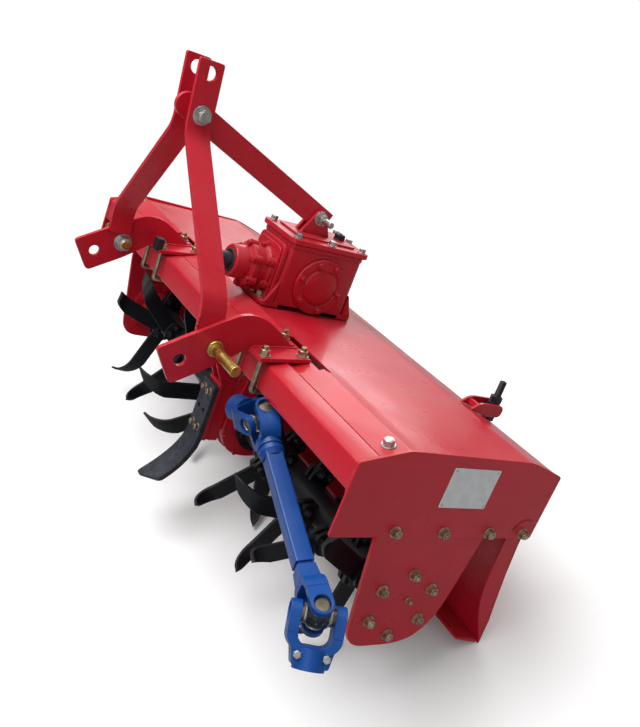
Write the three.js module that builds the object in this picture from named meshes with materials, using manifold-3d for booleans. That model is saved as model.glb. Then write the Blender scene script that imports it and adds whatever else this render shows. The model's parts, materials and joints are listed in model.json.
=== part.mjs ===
// A tractor-mounted rotary tiller: a folded hood on a tubular front beam, a bladed rotor driven
// through a top gearbox and a centre case, a three-point hitch, a hinged tailboard, a fixed share
// under the centre case and a stowed telescopic drive shaft.
//
// Machine frame, in millimetres: x runs across the machine (+x is its left-hand end), y runs
// rearward from the beam's front face, z is up from the beam's front top edge. The whole machine
// is then leaned back until it rests on its blades and on the tailboard's lip, as it is parked.
import * as THREE from 'three';
import { mergeVertices } from 'three/addons/utils/BufferGeometryUtils.js';
import Module from 'manifold-3d';

const wasm = await Module();
wasm.setup();

// ---- driving dimensions -------------------------------------------------------------------
const SEAT_GAP = 0.3; // left between two fixed pieces that touch
const RUNNING_GAP = 0.5; // between a pin or shaft and its bore

const HALF_WIDTH = 692; // to the outer face of an end plate
const END_PLATE_THICKNESS = 6;
const END_PLATE_DEPTH = 142; // below the beam's front top edge
const END_PLATE_LIP = 3; // how far the end plates stand proud of the sheet they close
const NAMEPLATE_FRONT = 206;
const NAMEPLATE_LENGTH = 114;
const NAMEPLATE_TOP = 6;
const NAMEPLATE_DEPTH = 82;
const NAMEPLATE_THICKNESS = 1.2;
const END_BOLT_RADIUS = 10;
const END_BOLT_PROUD = 17;
const END_BOLTS = [-98, 16, 132]; // three of them, from the rotor's axis; the fourth covers the pivot

const BEAM_HEIGHT = 56;
const BEAM_DEPTH = 95;
const BEAM_WALL = 5;
const BEAM_TOP_SLOPE = THREE.MathUtils.degToRad(16.5);
const BEAM_LEDGE = 40; // bare front part of the beam's top, ahead of the clamping strip

const ROTOR_Y = 232;
const ROTOR_Z = -296;
const BLADE_RADIUS = 225;
const BLADE_WIDTH = 50;
const BLADE_THICKNESS = 8;
const BLADE_ROOT = 44; // where a blade's straight shank starts, from the rotor's axis
const BLADE_SHANK = 112;
const BLADE_CURL = 42; // radius of the curl at its end
const BLADE_CURL_ANGLE = 1.3;
const BLADE_TIP = 14; // straight end past the curl
const BLADE_SWEEP = 72; // how far the tip is swept back
const BLADE_PLANES = 8; // on each half of the rotor, with two blades in each
const BLADE_PITCH = 75;
const FIRST_BLADE = 87;
const BLADE_SEAT = 30; // height of a blade's seat above the tube
const ROTOR_TUBE_RADIUS = 36;
const STUB_RADIUS = 22;
const STUB_LENGTH = 20;

const SHEET = 4; // hood and tailboard sheet
const STRIP_THICKNESS = 5;
const HOOD_CLEARANCE = 29; // from the blades to the hood's rear face
const HOOD_FALL = 85; // length of the hood's falling part
const HOOD_REAR = ROTOR_Y + BLADE_RADIUS + HOOD_CLEARANCE;
const HOOD_FLAT_END = HOOD_REAR - HOOD_FALL;
const HOOD_REAR_TOP = 0;
const HOOD_REAR_BOTTOM = -100;

const DROP_PLATE_THICKNESS = 10;
const DROP_PLATE_FRONT = 127; // ahead of the rotor's axis, at its top
const DROP_PLATE_REAR = 134; // behind the rotor's axis, at its top
const DROP_PLATE_BOTTOM = 95; // below the rotor's axis
const DROP_PLATE_TOP = -100;
const BEARING_FLANGE_RADIUS = 84;
const BEARING_BODY_RADIUS = 50;
const BEARING_LENGTH = 36;
const BEARING_FLANGE = 9;

const CASE_HALF_WIDTH = 32;
const CASE_HALF_LENGTH = 62;
const CASE_ROUND = 84;

const GEARBOX_HALF_WIDTH = 70;
const GEARBOX_SETBACK = 39; // from the beam's rear face
const GEARBOX_LENGTH = 194;
const GEARBOX_HEIGHT = 165.6; // above the hood
const GEARBOX_BASE = 12; // thickness of the base flange
const GEARBOX_BASE_LIP = 28;
const GEARBOX_FRONT = BEAM_DEPTH + GEARBOX_SETBACK;
const GEARBOX_REAR = GEARBOX_FRONT + GEARBOX_LENGTH;
const LID_THICKNESS = 12;
const LID_LIP = 8;
const COVER_SETBACK = 102; // from the gearbox's front
const COVER_RISE = 68.6; // above the hood
const COVER_RADIUS = 66;
const COVER_BOSS_RADIUS = 42;
const COVER_THICKNESS = 7;
const COVER_BOSS = 4;
const INPUT_RISE = 68.6; // above the hood
const INPUT_FLANGE_RADIUS = 56;
const INPUT_FLANGE = 18;
const INPUT_BODY_RADIUS = 46;
const INPUT_CAP = 9; // step from the neck down to its bearing cap
const INPUT_NOSE_Y = 36; // front face of the input bearing cap
const INPUT_SHAFT_RADIUS = 17.5;
const INPUT_SHAFT_END = -24;

const HITCH_FACE = 294; // outer face of a lower hitch plate
const HITCH_PLATE_THICKNESS = 10;
const HITCH_PIN_Y = -94;
const HITCH_PIN_Z = 0;
const HITCH_PIN_RADIUS = 11;
const HITCH_PIN_LENGTH = 101; // outboard of the plate
const HITCH_PIN_COLLAR = 17;
const SPARE_HOLE_RADIUS = 12.5;
const SPARE_HOLE_Y = -155;
const SPARE_HOLE_Z = -34;
const FOOT_THICKNESS = 8;
const FOOT_INBOARD = 52;
const FOOT_OUTBOARD = 52;
const FOOT_FRONT = -22;
const FOOT_SETBACK = 7; // its rear edge, ahead of the beam's rear face
const FOOT_NOTCH_OUTBOARD = 42; // the hood is notched round each foot
const FOOT_NOTCH_INBOARD = 4;
const FOOT_NOTCH_REAR = 18; // behind the beam

const MAST_BAR_WIDTH = 52;
const MAST_BAR_THICKNESS = 10;
const CLEVIS_HALF_GAP = 30;
const MAST_TOP_Z = 476;
const MAST_TOP_Y = -154;
const MAST_BEND_Z = 335;
const MAST_FOOT_Z = 22;
const MAST_FOOT_BEND_Z = 84;
const MAST_FOOT_Y = -110;
const TOP_HOLE_RADIUS = 14;
const TOP_HOLE_DROP = 24; // from the bar's top end to its hole
const CROSS_BOLT_Z = 373;
const CROSS_BOLT_RADIUS = 10;
const CROSS_BOLT_HEAD = 12;
const BRACE_WIDTH = 50;
const BRACE_THICKNESS = 12;
const BRACE_OVERRUN = 20; // from its upper bolt to the centre of its rounded end
const BRACE_FOOT = 28; // from its lower bolt to its square end
const BRACE_BOLT_RADIUS = 8;
const BRACE_SETBACK = 80; // its lower bolt, from the gearbox's front
const BRACE_RISE = 43; // and above the gearbox's top

const SHARE_WIDTH = 62;
const SHARE_THICKNESS = 12;
const SHARE_Y = 92; // its front face, where it is bolted on
const SHARE_TOP = -204;
const SHARE_BEND_Z = -330;
const SHARE_TIP_REACH = 82; // how far the curved point comes forward
const SHARE_TIP_Z = -470;
const SHARE_OBLIQUE = 26; // how much lower one corner of the point is than the other
const SHARE_FLARE = 0.12; // how much wider the point is than the bar
const SHARE_HANGER = 10; // thickness of the bracket's plate

const PIVOT_SETBACK = 30; // tailboard pivot, ahead of the hood's rear face
const TAILBOARD_PIVOT_Y = HOOD_REAR - PIVOT_SETBACK;
const TAILBOARD_PIVOT_Z = -129;
const TAILBOARD_PIN_RADIUS = 6;
const TAILBOARD_END_GAP = 5;
const TAILBOARD_TOP_Z = -112;
const TAILBOARD_FLANGE = 42; // depth of its end flanges at the pivot
const LIP_Y = HOOD_REAR + 21;
const LIP_Z = -414;

const ADJUSTER_X = 440;
const ADJUSTER_Y = HOOD_REAR + 26;
const ADJUSTER_Z = 16;
const ADJUSTER_ROD_RADIUS = 8;
const EYE_CLEARANCE = 2.6; // slack of the rod's eye on the lug pin, which follows an arc
const EYE_RADIUS = 15;
const EYE_WIDTH = 20;
const ADJUSTER_ABOVE = 64; // rod left standing above its pivot block
const LUG_Y = HOOD_REAR + 28; // pin on the tailboard that the rod's eye hangs on
const LUG_Z = -232;
const LUG_PIN_RADIUS = 6;
const LUG_THICKNESS = 6;
const BLOCK_HALF_WIDTH = 14;
const BLOCK_RADIUS = 13;
const BLOCK_CHEEK = 6;
const BLOCK_PIN_RADIUS = 5;

const SHAFT_OUTBOARD_X = 757; // its outboard joint, from the machine's middle
const SHAFT_OUTBOARD_DROP = 190; // and below the beam
const SHAFT_BLADE_CLEARANCE = 25; // and ahead of the blades
const SHAFT_INBOARD_X = 375;
const SHAFT_INBOARD_Y = 8;
const SHAFT_INBOARD_DROP = 41.4; // below the beam, which it rests against
const SHAFT_ROLL = -1.3; // turn of the forks about the shaft
const STOWED_YOKE = new THREE.Vector3(-0.96, -0.12, -0.25).normalize(); // its inboard end's way
const HANGING_YOKE = new THREE.Vector3(0.54, -0.18, -0.86).normalize(); // its outboard end's way
const YOKE_GAP = 56; // between the ears
const YOKE_EAR = 12;
const END_YOKE_EAR = 18; // the outboard end yoke's
const YOKE_WIDTH = 40;
const YOKE_REACH = 48; // from the joint's centre to the inside of the fork
const YOKE_ROOT = 16; // rounding inside the fork
const YOKE_SHOULDER = 24; // rounding outside the fork
const TRUNNION_RADIUS = 11;
const SHAFT_TUBE = 34;
const SHAFT_TUBE_WALL = 4;
const SHAFT_COLLAR_RADIUS = 25;
const SHAFT_BAR_OVERLAP = 150;
const YOKE_BASE = 14;
const YOKE_HUB = 24;
const YOKE_HUB_RADIUS = 27;
const SPLINE_BORE = 17.5;

// ---- finishes -----------------------------------------------------------------------------
const red = new THREE.MeshStandardMaterial({ color: 0xc4182b, roughness: 0.35, metalness: 0.1 });
const black = new THREE.MeshStandardMaterial({ color: 0x0c0c10, roughness: 0.45, metalness: 0.2 });
const steel = new THREE.MeshStandardMaterial({ color: 0x3a3d45, roughness: 0.5, metalness: 0.8 });
const brass = new THREE.MeshStandardMaterial({ color: 0xc9b35c, roughness: 0.3, metalness: 0.9 });
const zinc = new THREE.MeshStandardMaterial({ color: 0xa9a69c, roughness: 0.35, metalness: 0.9 });
const blue = new THREE.MeshStandardMaterial({ color: 0x1246a8, roughness: 0.35, metalness: 0.1 });
const silver = new THREE.MeshStandardMaterial({ color: 0xc8cacc, roughness: 0.4, metalness: 0.7 });

// ---- solids -------------------------------------------------------------------------------
function solid(geometry) {
  const bare = geometry.clone();
  bare.deleteAttribute('normal');
  bare.deleteAttribute('uv');
  const merged = mergeVertices(bare, 1e-4);
  return new wasm.Manifold(new wasm.Mesh({
    numProp: 3,
    vertProperties: new Float32Array(merged.attributes.position.array),
    triVerts: new Uint32Array(merged.index.array),
  }));
}

function geometryOf(manifold) {
  const mesh = manifold.getMesh();
  const geometry = new THREE.BufferGeometry();
  geometry.setAttribute('position', new THREE.BufferAttribute(mesh.vertProperties, 3));
  geometry.setIndex(new THREE.BufferAttribute(mesh.triVerts, 1));
  return geometry;
}

function join(...geometries) {
  return geometryOf(geometries.map(solid).reduce((all, next) => all.add(next)));
}

function cut(geometry, ...tools) {
  return geometryOf(tools.map(solid).reduce((left, tool) => left.subtract(tool), solid(geometry)));
}

function common(first, second) {
  return geometryOf(solid(first).intersect(solid(second)));
}

// An outline in the (y, z) plane, extruded across the machine from x0 to x1.
function profile(outline, x0, x1) {
  const shape = outline instanceof THREE.Shape ? outline : new THREE.Shape(outline);
  const geometry = new THREE.ExtrudeGeometry(shape, {
    depth: x1 - x0, bevelEnabled: false, curveSegments: 8,
  });
  const across = new THREE.Matrix4().set(0, 0, 1, x0, 1, 0, 0, 0, 0, 1, 0, 0, 0, 0, 0, 1);
  return geometry.applyMatrix4(across);
}

const at = (y, z) => new THREE.Vector2(y, z);

function box(x0, x1, y0, y1, z0, z1) {
  return new THREE.BoxGeometry(x1 - x0, y1 - y0, z1 - z0)
    .translate((x0 + x1) / 2, (y0 + y1) / 2, (z0 + z1) / 2);
}

function rod(start, end, radius, sides = 16) {
  const along = new THREE.Vector3().subVectors(end, start);
  const turn = new THREE.Quaternion().setFromUnitVectors(
    new THREE.Vector3(0, 1, 0), along.clone().normalize());
  return new THREE.CylinderGeometry(radius, radius, along.length(), sides)
    .applyQuaternion(turn)
    .translate(...start.clone().add(end).multiplyScalar(0.5));
}

const rodX = (x0, x1, y, z, radius, sides) => rod(
  new THREE.Vector3(x0, y, z), new THREE.Vector3(x1, y, z), radius, sides);

const rodY = (y0, y1, x, z, radius, sides) => rod(
  new THREE.Vector3(x, y0, z), new THREE.Vector3(x, y1, z), radius, sides);

// A reflection turns every triangle inside out, so its corners are reordered.
function turnedOut(geometry) {
  const corners = geometry.index ? [...geometry.index.array]
    : [...Array(geometry.attributes.position.count).keys()];
  for (let i = 0; i < corners.length; i += 3) {
    [corners[i + 1], corners[i + 2]] = [corners[i + 2], corners[i + 1]];
  }
  geometry.setIndex(corners);
  return geometry;
}

const mirrored = (geometry) => turnedOut(geometry.clone().scale(-1, 1, 1));

const machine = new THREE.Group();

function add(name, geometry, material) {
  const mesh = new THREE.Mesh(geometry, material);
  mesh.name = name;
  machine.add(mesh);
  return mesh;
}

// The same piece at both ends of the machine: the left-hand one is given, at +x.
function addPair(name, geometry, material) {
  add(`${name}_left`, geometry, material);
  add(`${name}_right`, mirrored(geometry), material);
}

// ---- frame: beam, end plates, hood and the strips that clamp it -----------------------------
const slopeRise = (y) => y * Math.tan(BEAM_TOP_SLOPE);
const innerFace = HALF_WIDTH - END_PLATE_THICKNESS;
const frameEnd = innerFace - SEAT_GAP;
const stepDown = STRIP_THICKNESS + SHEET / Math.cos(BEAM_TOP_SLOPE);
const hoodTop = slopeRise(BEAM_DEPTH) - STRIP_THICKNESS + SEAT_GAP;

function mainBeam() {
  const outer = profile([
    at(0, -BEAM_HEIGHT), at(BEAM_DEPTH, -BEAM_HEIGHT),
    at(BEAM_DEPTH, slopeRise(BEAM_DEPTH) - stepDown),
    at(BEAM_LEDGE, slopeRise(BEAM_LEDGE) - stepDown),
    at(BEAM_LEDGE, slopeRise(BEAM_LEDGE)), at(0, 0),
  ], -frameEnd, frameEnd);
  const inner = profile([
    at(BEAM_WALL, BEAM_WALL - BEAM_HEIGHT), at(BEAM_DEPTH - BEAM_WALL, BEAM_WALL - BEAM_HEIGHT),
    at(BEAM_DEPTH - BEAM_WALL, slopeRise(BEAM_DEPTH - BEAM_WALL) - stepDown - BEAM_WALL),
    at(BEAM_WALL, slopeRise(BEAM_WALL) - stepDown - BEAM_WALL),
  ], -HALF_WIDTH, HALF_WIDTH);
  return cut(outer, inner);
}
add('main_beam', mainBeam(), red);

// The hood follows the beam's sloped top, then runs flat, falls to the rear edge and turns down.
const hoodLine = [
  at(BEAM_LEDGE + SEAT_GAP, slopeRise(BEAM_LEDGE) - STRIP_THICKNESS + SEAT_GAP),
  at(BEAM_DEPTH, hoodTop), at(HOOD_FLAT_END, hoodTop),
  at(HOOD_REAR, HOOD_REAR_TOP), at(HOOD_REAR, HOOD_REAR_BOTTOM),
];

// The line shifted square to itself by the sheet's thickness, joined back on itself.
function sheetOutline(line, thickness) {
  const offset = line.map((point, i) => {
    const before = line[Math.max(i - 1, 0)];
    const after = line[Math.min(i + 1, line.length - 1)];
    const into = (i ? point : after).clone().sub(i ? before : point).normalize();
    const out = (i < line.length - 1 ? after : point).clone()
      .sub(i < line.length - 1 ? point : before).normalize();
    const normal = at(into.y + out.y, -into.x - out.x).normalize();
    return point.clone().addScaledVector(normal, thickness / normal.dot(at(into.y, -into.x)));
  });
  return [...offset, ...line.slice().reverse()];
}
const footInner = HITCH_FACE - HITCH_PLATE_THICKNESS - FOOT_INBOARD;
const footOuter = HITCH_FACE + FOOT_OUTBOARD;
const notchInner = footInner - FOOT_NOTCH_INBOARD;
const notchOuter = footOuter + FOOT_NOTCH_OUTBOARD;

function hood() {
  const sheet = profile(sheetOutline(hoodLine, SHEET - SEAT_GAP), -frameEnd, frameEnd);
  const notch = box(notchInner, notchOuter, 0, BEAM_DEPTH + FOOT_NOTCH_REAR, 0, hoodTop + SHEET);
  return cut(sheet, notch, mirrored(notch));
}
add('hood', hood(), red);

function strip(x0, x1) {
  const under = (y) => slopeRise(y) - STRIP_THICKNESS + 2 * SEAT_GAP;
  return profile([
    at(BEAM_LEDGE + SEAT_GAP, under(BEAM_LEDGE)), at(BEAM_DEPTH - SEAT_GAP, under(BEAM_DEPTH)),
    at(BEAM_DEPTH - SEAT_GAP, slopeRise(BEAM_DEPTH)), at(BEAM_LEDGE + SEAT_GAP, slopeRise(BEAM_LEDGE)),
  ], x0, x1);
}
addPair('clamp_strip', strip(notchOuter, frameEnd), red);
add('clamp_strip_centre', strip(-notchInner, notchInner), red);

function endPlate() {
  const up = END_PLATE_LIP;
  const plate = profile([
    at(-up, -END_PLATE_DEPTH), at(HOOD_REAR, -END_PLATE_DEPTH), at(HOOD_REAR + up, HOOD_REAR_TOP),
    at(HOOD_FLAT_END, hoodTop + up), at(BEAM_DEPTH, slopeRise(BEAM_DEPTH) + up), at(-up, up),
  ], innerFace, HALF_WIDTH);
  const bored = cut(plate, rodX(innerFace - 1, HALF_WIDTH + 1, TAILBOARD_PIVOT_Y, TAILBOARD_PIVOT_Z,
    TAILBOARD_PIN_RADIUS + RUNNING_GAP));
  const bolts = [...END_BOLTS.map((y) => ROTOR_Y + y), TAILBOARD_PIVOT_Y].map((y) => rodX(
    HALF_WIDTH - SEAT_GAP, HALF_WIDTH + END_BOLT_PROUD, y, TAILBOARD_PIVOT_Z, END_BOLT_RADIUS, 6));
  return join(bored, ...bolts);
}
addPair('end_plate', endPlate(), red);
add('nameplate', box(HALF_WIDTH + SEAT_GAP, HALF_WIDTH + SEAT_GAP + NAMEPLATE_THICKNESS,
  NAMEPLATE_FRONT, NAMEPLATE_FRONT + NAMEPLATE_LENGTH,
  NAMEPLATE_TOP - NAMEPLATE_DEPTH, NAMEPLATE_TOP), silver);

// ---- rotor bearings at the ends -----------------------------------------------------------
const dropOuter = innerFace - SEAT_GAP;
const dropInner = dropOuter - DROP_PLATE_THICKNESS;

// It narrows from its top to the bearing flange, and its bottom is flat with rounded corners.
function dropPlate() {
  const front = ROTOR_Y - DROP_PLATE_FRONT;
  const rear = ROTOR_Y + DROP_PLATE_REAR;
  const below = ROTOR_Z - DROP_PLATE_BOTTOM;
  const shoulder = DROP_PLATE_TOP - 50;
  const shape = new THREE.Shape();
  shape.moveTo(front, DROP_PLATE_TOP);
  shape.lineTo(front, shoulder);
  shape.lineTo(front + 29, below + 46);
  shape.quadraticCurveTo(front + 37, below, front + 83, below);
  shape.lineTo(rear - 128, below);
  shape.quadraticCurveTo(rear - 50, below, rear - 34, below + 48);
  shape.lineTo(rear - 19, below + 106);
  shape.lineTo(rear, shoulder);
  shape.lineTo(rear, DROP_PLATE_TOP);
  const plate = profile(shape, dropInner, dropOuter);
  return cut(plate, rodX(dropInner - 1, dropOuter - 3, ROTOR_Y, ROTOR_Z, STUB_RADIUS + 4));
}
addPair('drop_plate', dropPlate(), red);

const bearingOuter = dropInner - SEAT_GAP;
const bearingInner = bearingOuter - BEARING_LENGTH;

function bearingHousing() {
  const body = join(
    rodX(bearingOuter - BEARING_FLANGE, bearingOuter, ROTOR_Y, ROTOR_Z, BEARING_FLANGE_RADIUS, 32),
    rodX(bearingInner, bearingOuter - 1, ROTOR_Y, ROTOR_Z, BEARING_BODY_RADIUS, 32));
  return cut(body, rodX(bearingInner - 1, bearingOuter + 1, ROTOR_Y, ROTOR_Z,
    STUB_RADIUS + RUNNING_GAP));
}
addPair('bearing_housing', bearingHousing(), red);

// ---- centre drive case and its share --------------------------------------------------------
const caseTop = hoodTop - SHEET - SEAT_GAP;

function centreCase() {
  const shape = new THREE.Shape();
  shape.moveTo(ROTOR_Y - CASE_HALF_LENGTH, caseTop);
  shape.lineTo(ROTOR_Y - CASE_HALF_LENGTH, -190);
  shape.absarc(ROTOR_Y, ROTOR_Z, CASE_ROUND, Math.PI * 0.92, Math.PI * 2.08);
  shape.lineTo(ROTOR_Y + CASE_HALF_LENGTH, -190);
  shape.lineTo(ROTOR_Y + CASE_HALF_LENGTH, caseTop);
  const body = profile(shape, -CASE_HALF_WIDTH, CASE_HALF_WIDTH);
  return cut(body, rodX(-CASE_HALF_WIDTH - 1, CASE_HALF_WIDTH + 1, ROTOR_Y, ROTOR_Z,
    STUB_RADIUS + RUNNING_GAP));
}
add('centre_case', centreCase(), red);

const bracketFront = SHARE_Y + SHARE_THICKNESS + SEAT_GAP;
const bracketRear = ROTOR_Y - CASE_ROUND - SEAT_GAP;

// A plate on the front of the case, hung from the beam by two sloping cheeks.
function shareBracket() {
  const plate = box(-SHARE_WIDTH / 2, SHARE_WIDTH / 2, bracketFront, bracketFront + SHARE_HANGER,
    SHARE_BEND_Z - 15, SHARE_TOP + 8);
  const cheek = profile([
    at(BEAM_DEPTH - 70, -BEAM_HEIGHT - SEAT_GAP), at(BEAM_DEPTH, -BEAM_HEIGHT - SEAT_GAP),
    at(bracketRear, -BEAM_HEIGHT - 74), at(bracketRear, SHARE_BEND_Z - 15),
    at(bracketFront + 5, SHARE_BEND_Z - 15), at(bracketFront + 5, SHARE_TOP + 4),
  ], 18, 26);
  return join(plate, cheek, mirrored(cheek));
}
add('share_bracket', shareBracket(), red);

// A flat bar whose lower half curls forward to an oblique point.
function share() {
  const steps = 10;
  const bar = new THREE.BoxGeometry(SHARE_WIDTH, SHARE_THICKNESS, 1, 1, 1, steps);
  const place = bar.attributes.position;
  for (let i = 0; i < place.count; i += 1) {
    const down = 0.5 - place.getZ(i);
    const straight = Math.min(down / 0.45, 1);
    const curl = Math.max((down - 0.45) / 0.55, 0);
    const oblique = SHARE_OBLIQUE * curl * curl * (place.getX(i) / SHARE_WIDTH);
    const z = THREE.MathUtils.lerp(SHARE_TOP, SHARE_BEND_Z, straight)
      + (SHARE_TIP_Z - SHARE_BEND_Z + oblique) * curl;
    const lean = Math.atan2(2 * SHARE_TIP_REACH * curl, SHARE_BEND_Z - SHARE_TIP_Z);
    const y = SHARE_Y + SHARE_THICKNESS / 2 - SHARE_TIP_REACH * curl * curl + oblique * curl;
    place.setY(i, y + place.getY(i) * Math.cos(lean));
    place.setZ(i, z - place.getY(i) * Math.sin(lean));
    place.setX(i, place.getX(i) * (1 + SHARE_FLARE * curl));
  }
  return bar;
}
add('share', share(), steel);

// ---- rotor ----------------------------------------------------------------------------------
const lip = new THREE.Vector2(LIP_Y - ROTOR_Y, LIP_Z - ROTOR_Z);
const tipStep = Math.PI / BLADE_PLANES;
const parkedAxisHeight = BLADE_RADIUS * Math.cos(tipStep / 4);
const parkedTilt = Math.asin(parkedAxisHeight / lip.length()) - Math.atan2(-lip.y, lip.x);
const straightDown = parkedTilt - Math.PI / 2; // in the machine's (y, z) plane

// One blade, its root on the rotor's axis and its tip pointing along +y, curling towards +x.
function blade() {
  const length = BLADE_SHANK + BLADE_CURL * BLADE_CURL_ANGLE + BLADE_TIP;
  const bar = new THREE.BoxGeometry(BLADE_THICKNESS, length, BLADE_WIDTH, 1, 9, 1);
  const place = bar.attributes.position;
  for (let i = 0; i < place.count; i += 1) {
    const run = place.getY(i) + length / 2;
    const bend = THREE.MathUtils.clamp((run - BLADE_SHANK) / BLADE_CURL, 0, BLADE_CURL_ANGLE);
    const rest = Math.max(run - BLADE_SHANK - BLADE_CURL * BLADE_CURL_ANGLE, 0);
    const side = place.getX(i);
    const sweep = (run / length) ** 2;
    const wide = place.getZ(i) * (1 - 0.25 * sweep) - BLADE_SWEEP * sweep;
    const tipCut = -0.35 * Math.max(run - BLADE_SHANK, 0) * (place.getZ(i) / BLADE_WIDTH);
    const out = BLADE_ROOT + Math.min(run, BLADE_SHANK)
      + BLADE_CURL * Math.sin(bend) + rest * Math.cos(bend);
    const over = BLADE_CURL * (1 - Math.cos(bend)) + rest * Math.sin(bend);
    place.setXYZ(i, side * Math.cos(bend) + over + tipCut * Math.sin(bend),
      out - side * Math.sin(bend) + tipCut * Math.cos(bend), wide);
  }
  return bar;
}

function tipOf(geometry) {
  const place = geometry.attributes.position;
  let reach = 0;
  let angle = 0;
  for (let i = 0; i < place.count; i += 1) {
    const far = Math.hypot(place.getY(i), place.getZ(i));
    if (far > reach) {
      reach = far;
      angle = Math.atan2(place.getZ(i), place.getY(i));
    }
  }
  return { reach, angle };
}

const bladeTowardsLeft = blade();
const bareTip = tipOf(bladeTowardsLeft);
const toSize = BLADE_RADIUS / bareTip.reach;
bladeTowardsLeft.scale(1, toSize, toSize);
const bladeTowardsRight = mirrored(bladeTowardsLeft);

// Tips are spread evenly round each half; the order says which comes next along the tube.
const ORDER_LEFT = [7, 4, 0, 5, 2, 3, 6, 1];
const ORDER_RIGHT = [4, 3, 7, 0, 5, 1, 2, 6];

function rotorHalf(side, order) {
  const inner = CASE_HALF_WIDTH + 8;
  const outer = bearingInner - 8;
  const pieces = [
    rodX(inner, outer, 0, 0, ROTOR_TUBE_RADIUS, 16),
    rodX(inner, inner + 14, 0, 0, ROTOR_TUBE_RADIUS + 18, 20),
    rodX(outer - 12, outer, 0, 0, ROTOR_TUBE_RADIUS + 10, 20),
    rodX(inner - 8 - STUB_LENGTH, inner + 2, 0, 0, STUB_RADIUS, 20),
    rodX(outer - 2, bearingInner + STUB_LENGTH, 0, 0, STUB_RADIUS, 20),
  ].map((piece) => (side > 0 ? piece : mirrored(piece)));
  for (let plane = 0; plane < BLADE_PLANES; plane += 1) {
    const x = side * (FIRST_BLADE + plane * BLADE_PITCH);
    const tip = straightDown + side * tipStep / 4 + order[plane] * tipStep;
    for (const half of [0, 1]) {
      const outward = plane === 0 || half === plane % 2;
      const shape = (outward === side > 0) ? bladeTowardsLeft : bladeTowardsRight;
      const turn = tip + half * Math.PI - bareTip.angle;
      const seat = box(-13, 13, ROTOR_TUBE_RADIUS - 8, ROTOR_TUBE_RADIUS + BLADE_SEAT, -27, 27);
      pieces.push(join(shape, seat).rotateX(turn).translate(x, 0, 0));
    }
  }
  return join(...pieces).translate(0, ROTOR_Y, ROTOR_Z);
}
add('rotor_left', rotorHalf(1, ORDER_LEFT), black);
add('rotor_right', rotorHalf(-1, ORDER_RIGHT), black);

// ---- gearbox --------------------------------------------------------------------------------
const gearboxBottom = hoodTop + SEAT_GAP;
const gearboxTop = hoodTop + GEARBOX_HEIGHT;
const lidBottom = gearboxTop - LID_THICKNESS;
const coverY = GEARBOX_FRONT + COVER_SETBACK;
const coverZ = hoodTop + COVER_RISE;
const inputZ = hoodTop + INPUT_RISE;

function gearboxHousing() {
  const w = GEARBOX_HALF_WIDTH;
  const body = box(-w, w, GEARBOX_FRONT, GEARBOX_REAR, gearboxBottom, lidBottom - SEAT_GAP);
  const base = box(-w, w, GEARBOX_FRONT - GEARBOX_BASE_LIP, GEARBOX_REAR + GEARBOX_BASE_LIP,
    gearboxBottom, gearboxBottom + GEARBOX_BASE);
  return join(body, base);
}
add('gearbox_housing', gearboxHousing(), red);

// Centre line of a mast bar's width: it leans forward from its foot to its top.
function mastLine(z) {
  const way = (z - MAST_FOOT_Z) / (MAST_TOP_Z - MAST_FOOT_Z);
  return THREE.MathUtils.lerp(MAST_FOOT_Y, MAST_TOP_Y, way);
}

const braceStart = at(mastLine(CROSS_BOLT_Z), CROSS_BOLT_Z);
const braceEnd = at(GEARBOX_FRONT + BRACE_SETBACK, gearboxTop + BRACE_RISE);

function gearboxLid() {
  const w = GEARBOX_HALF_WIDTH + LID_LIP;
  const plate = box(-w, w, GEARBOX_FRONT - LID_LIP, GEARBOX_REAR + LID_LIP, lidBottom, gearboxTop);
  const cheekInner = BRACE_THICKNESS / 2 + SEAT_GAP;
  const cheek = profile([
    at(braceEnd.x - 34, gearboxTop - 2), at(braceEnd.x + 34, gearboxTop - 2),
    at(braceEnd.x + 14, braceEnd.y + 16), at(braceEnd.x - 14, braceEnd.y + 16),
  ], cheekInner, cheekInner + 8);
  const pinHole = rodX(-40, 40, braceEnd.x, braceEnd.y, BRACE_BOLT_RADIUS + RUNNING_GAP);
  return cut(join(plate, cheek, mirrored(cheek)), pinHole);
}
add('gearbox_lid', gearboxLid(), red);

function sideCover() {
  const face = GEARBOX_HALF_WIDTH + SEAT_GAP;
  return join(
    rodX(face, face + COVER_THICKNESS, coverY, coverZ, COVER_RADIUS, 32),
    rodX(face + 1, face + COVER_THICKNESS + COVER_BOSS, coverY, coverZ, COVER_BOSS_RADIUS, 24));
}
addPair('side_cover', sideCover(), red);

function inputHousing() {
  const face = GEARBOX_FRONT - SEAT_GAP;
  const body = join(
    rodY(face - INPUT_FLANGE, face, 0, inputZ, INPUT_FLANGE_RADIUS, 36),
    rodY(INPUT_NOSE_Y + 26, face - 2, 0, inputZ, INPUT_BODY_RADIUS, 32),
    rodY(INPUT_NOSE_Y, INPUT_NOSE_Y + 30, 0, inputZ, INPUT_BODY_RADIUS - INPUT_CAP, 32));
  return cut(body, rodY(INPUT_NOSE_Y - 1, face + 1, 0, inputZ, INPUT_SHAFT_RADIUS + RUNNING_GAP));
}
add('input_housing', inputHousing(), red);
add('input_shaft', rodY(INPUT_SHAFT_END, INPUT_NOSE_Y + 70, 0, inputZ, INPUT_SHAFT_RADIUS, 24), steel);

// ---- three-point hitch -----------------------------------------------------------------------

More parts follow.
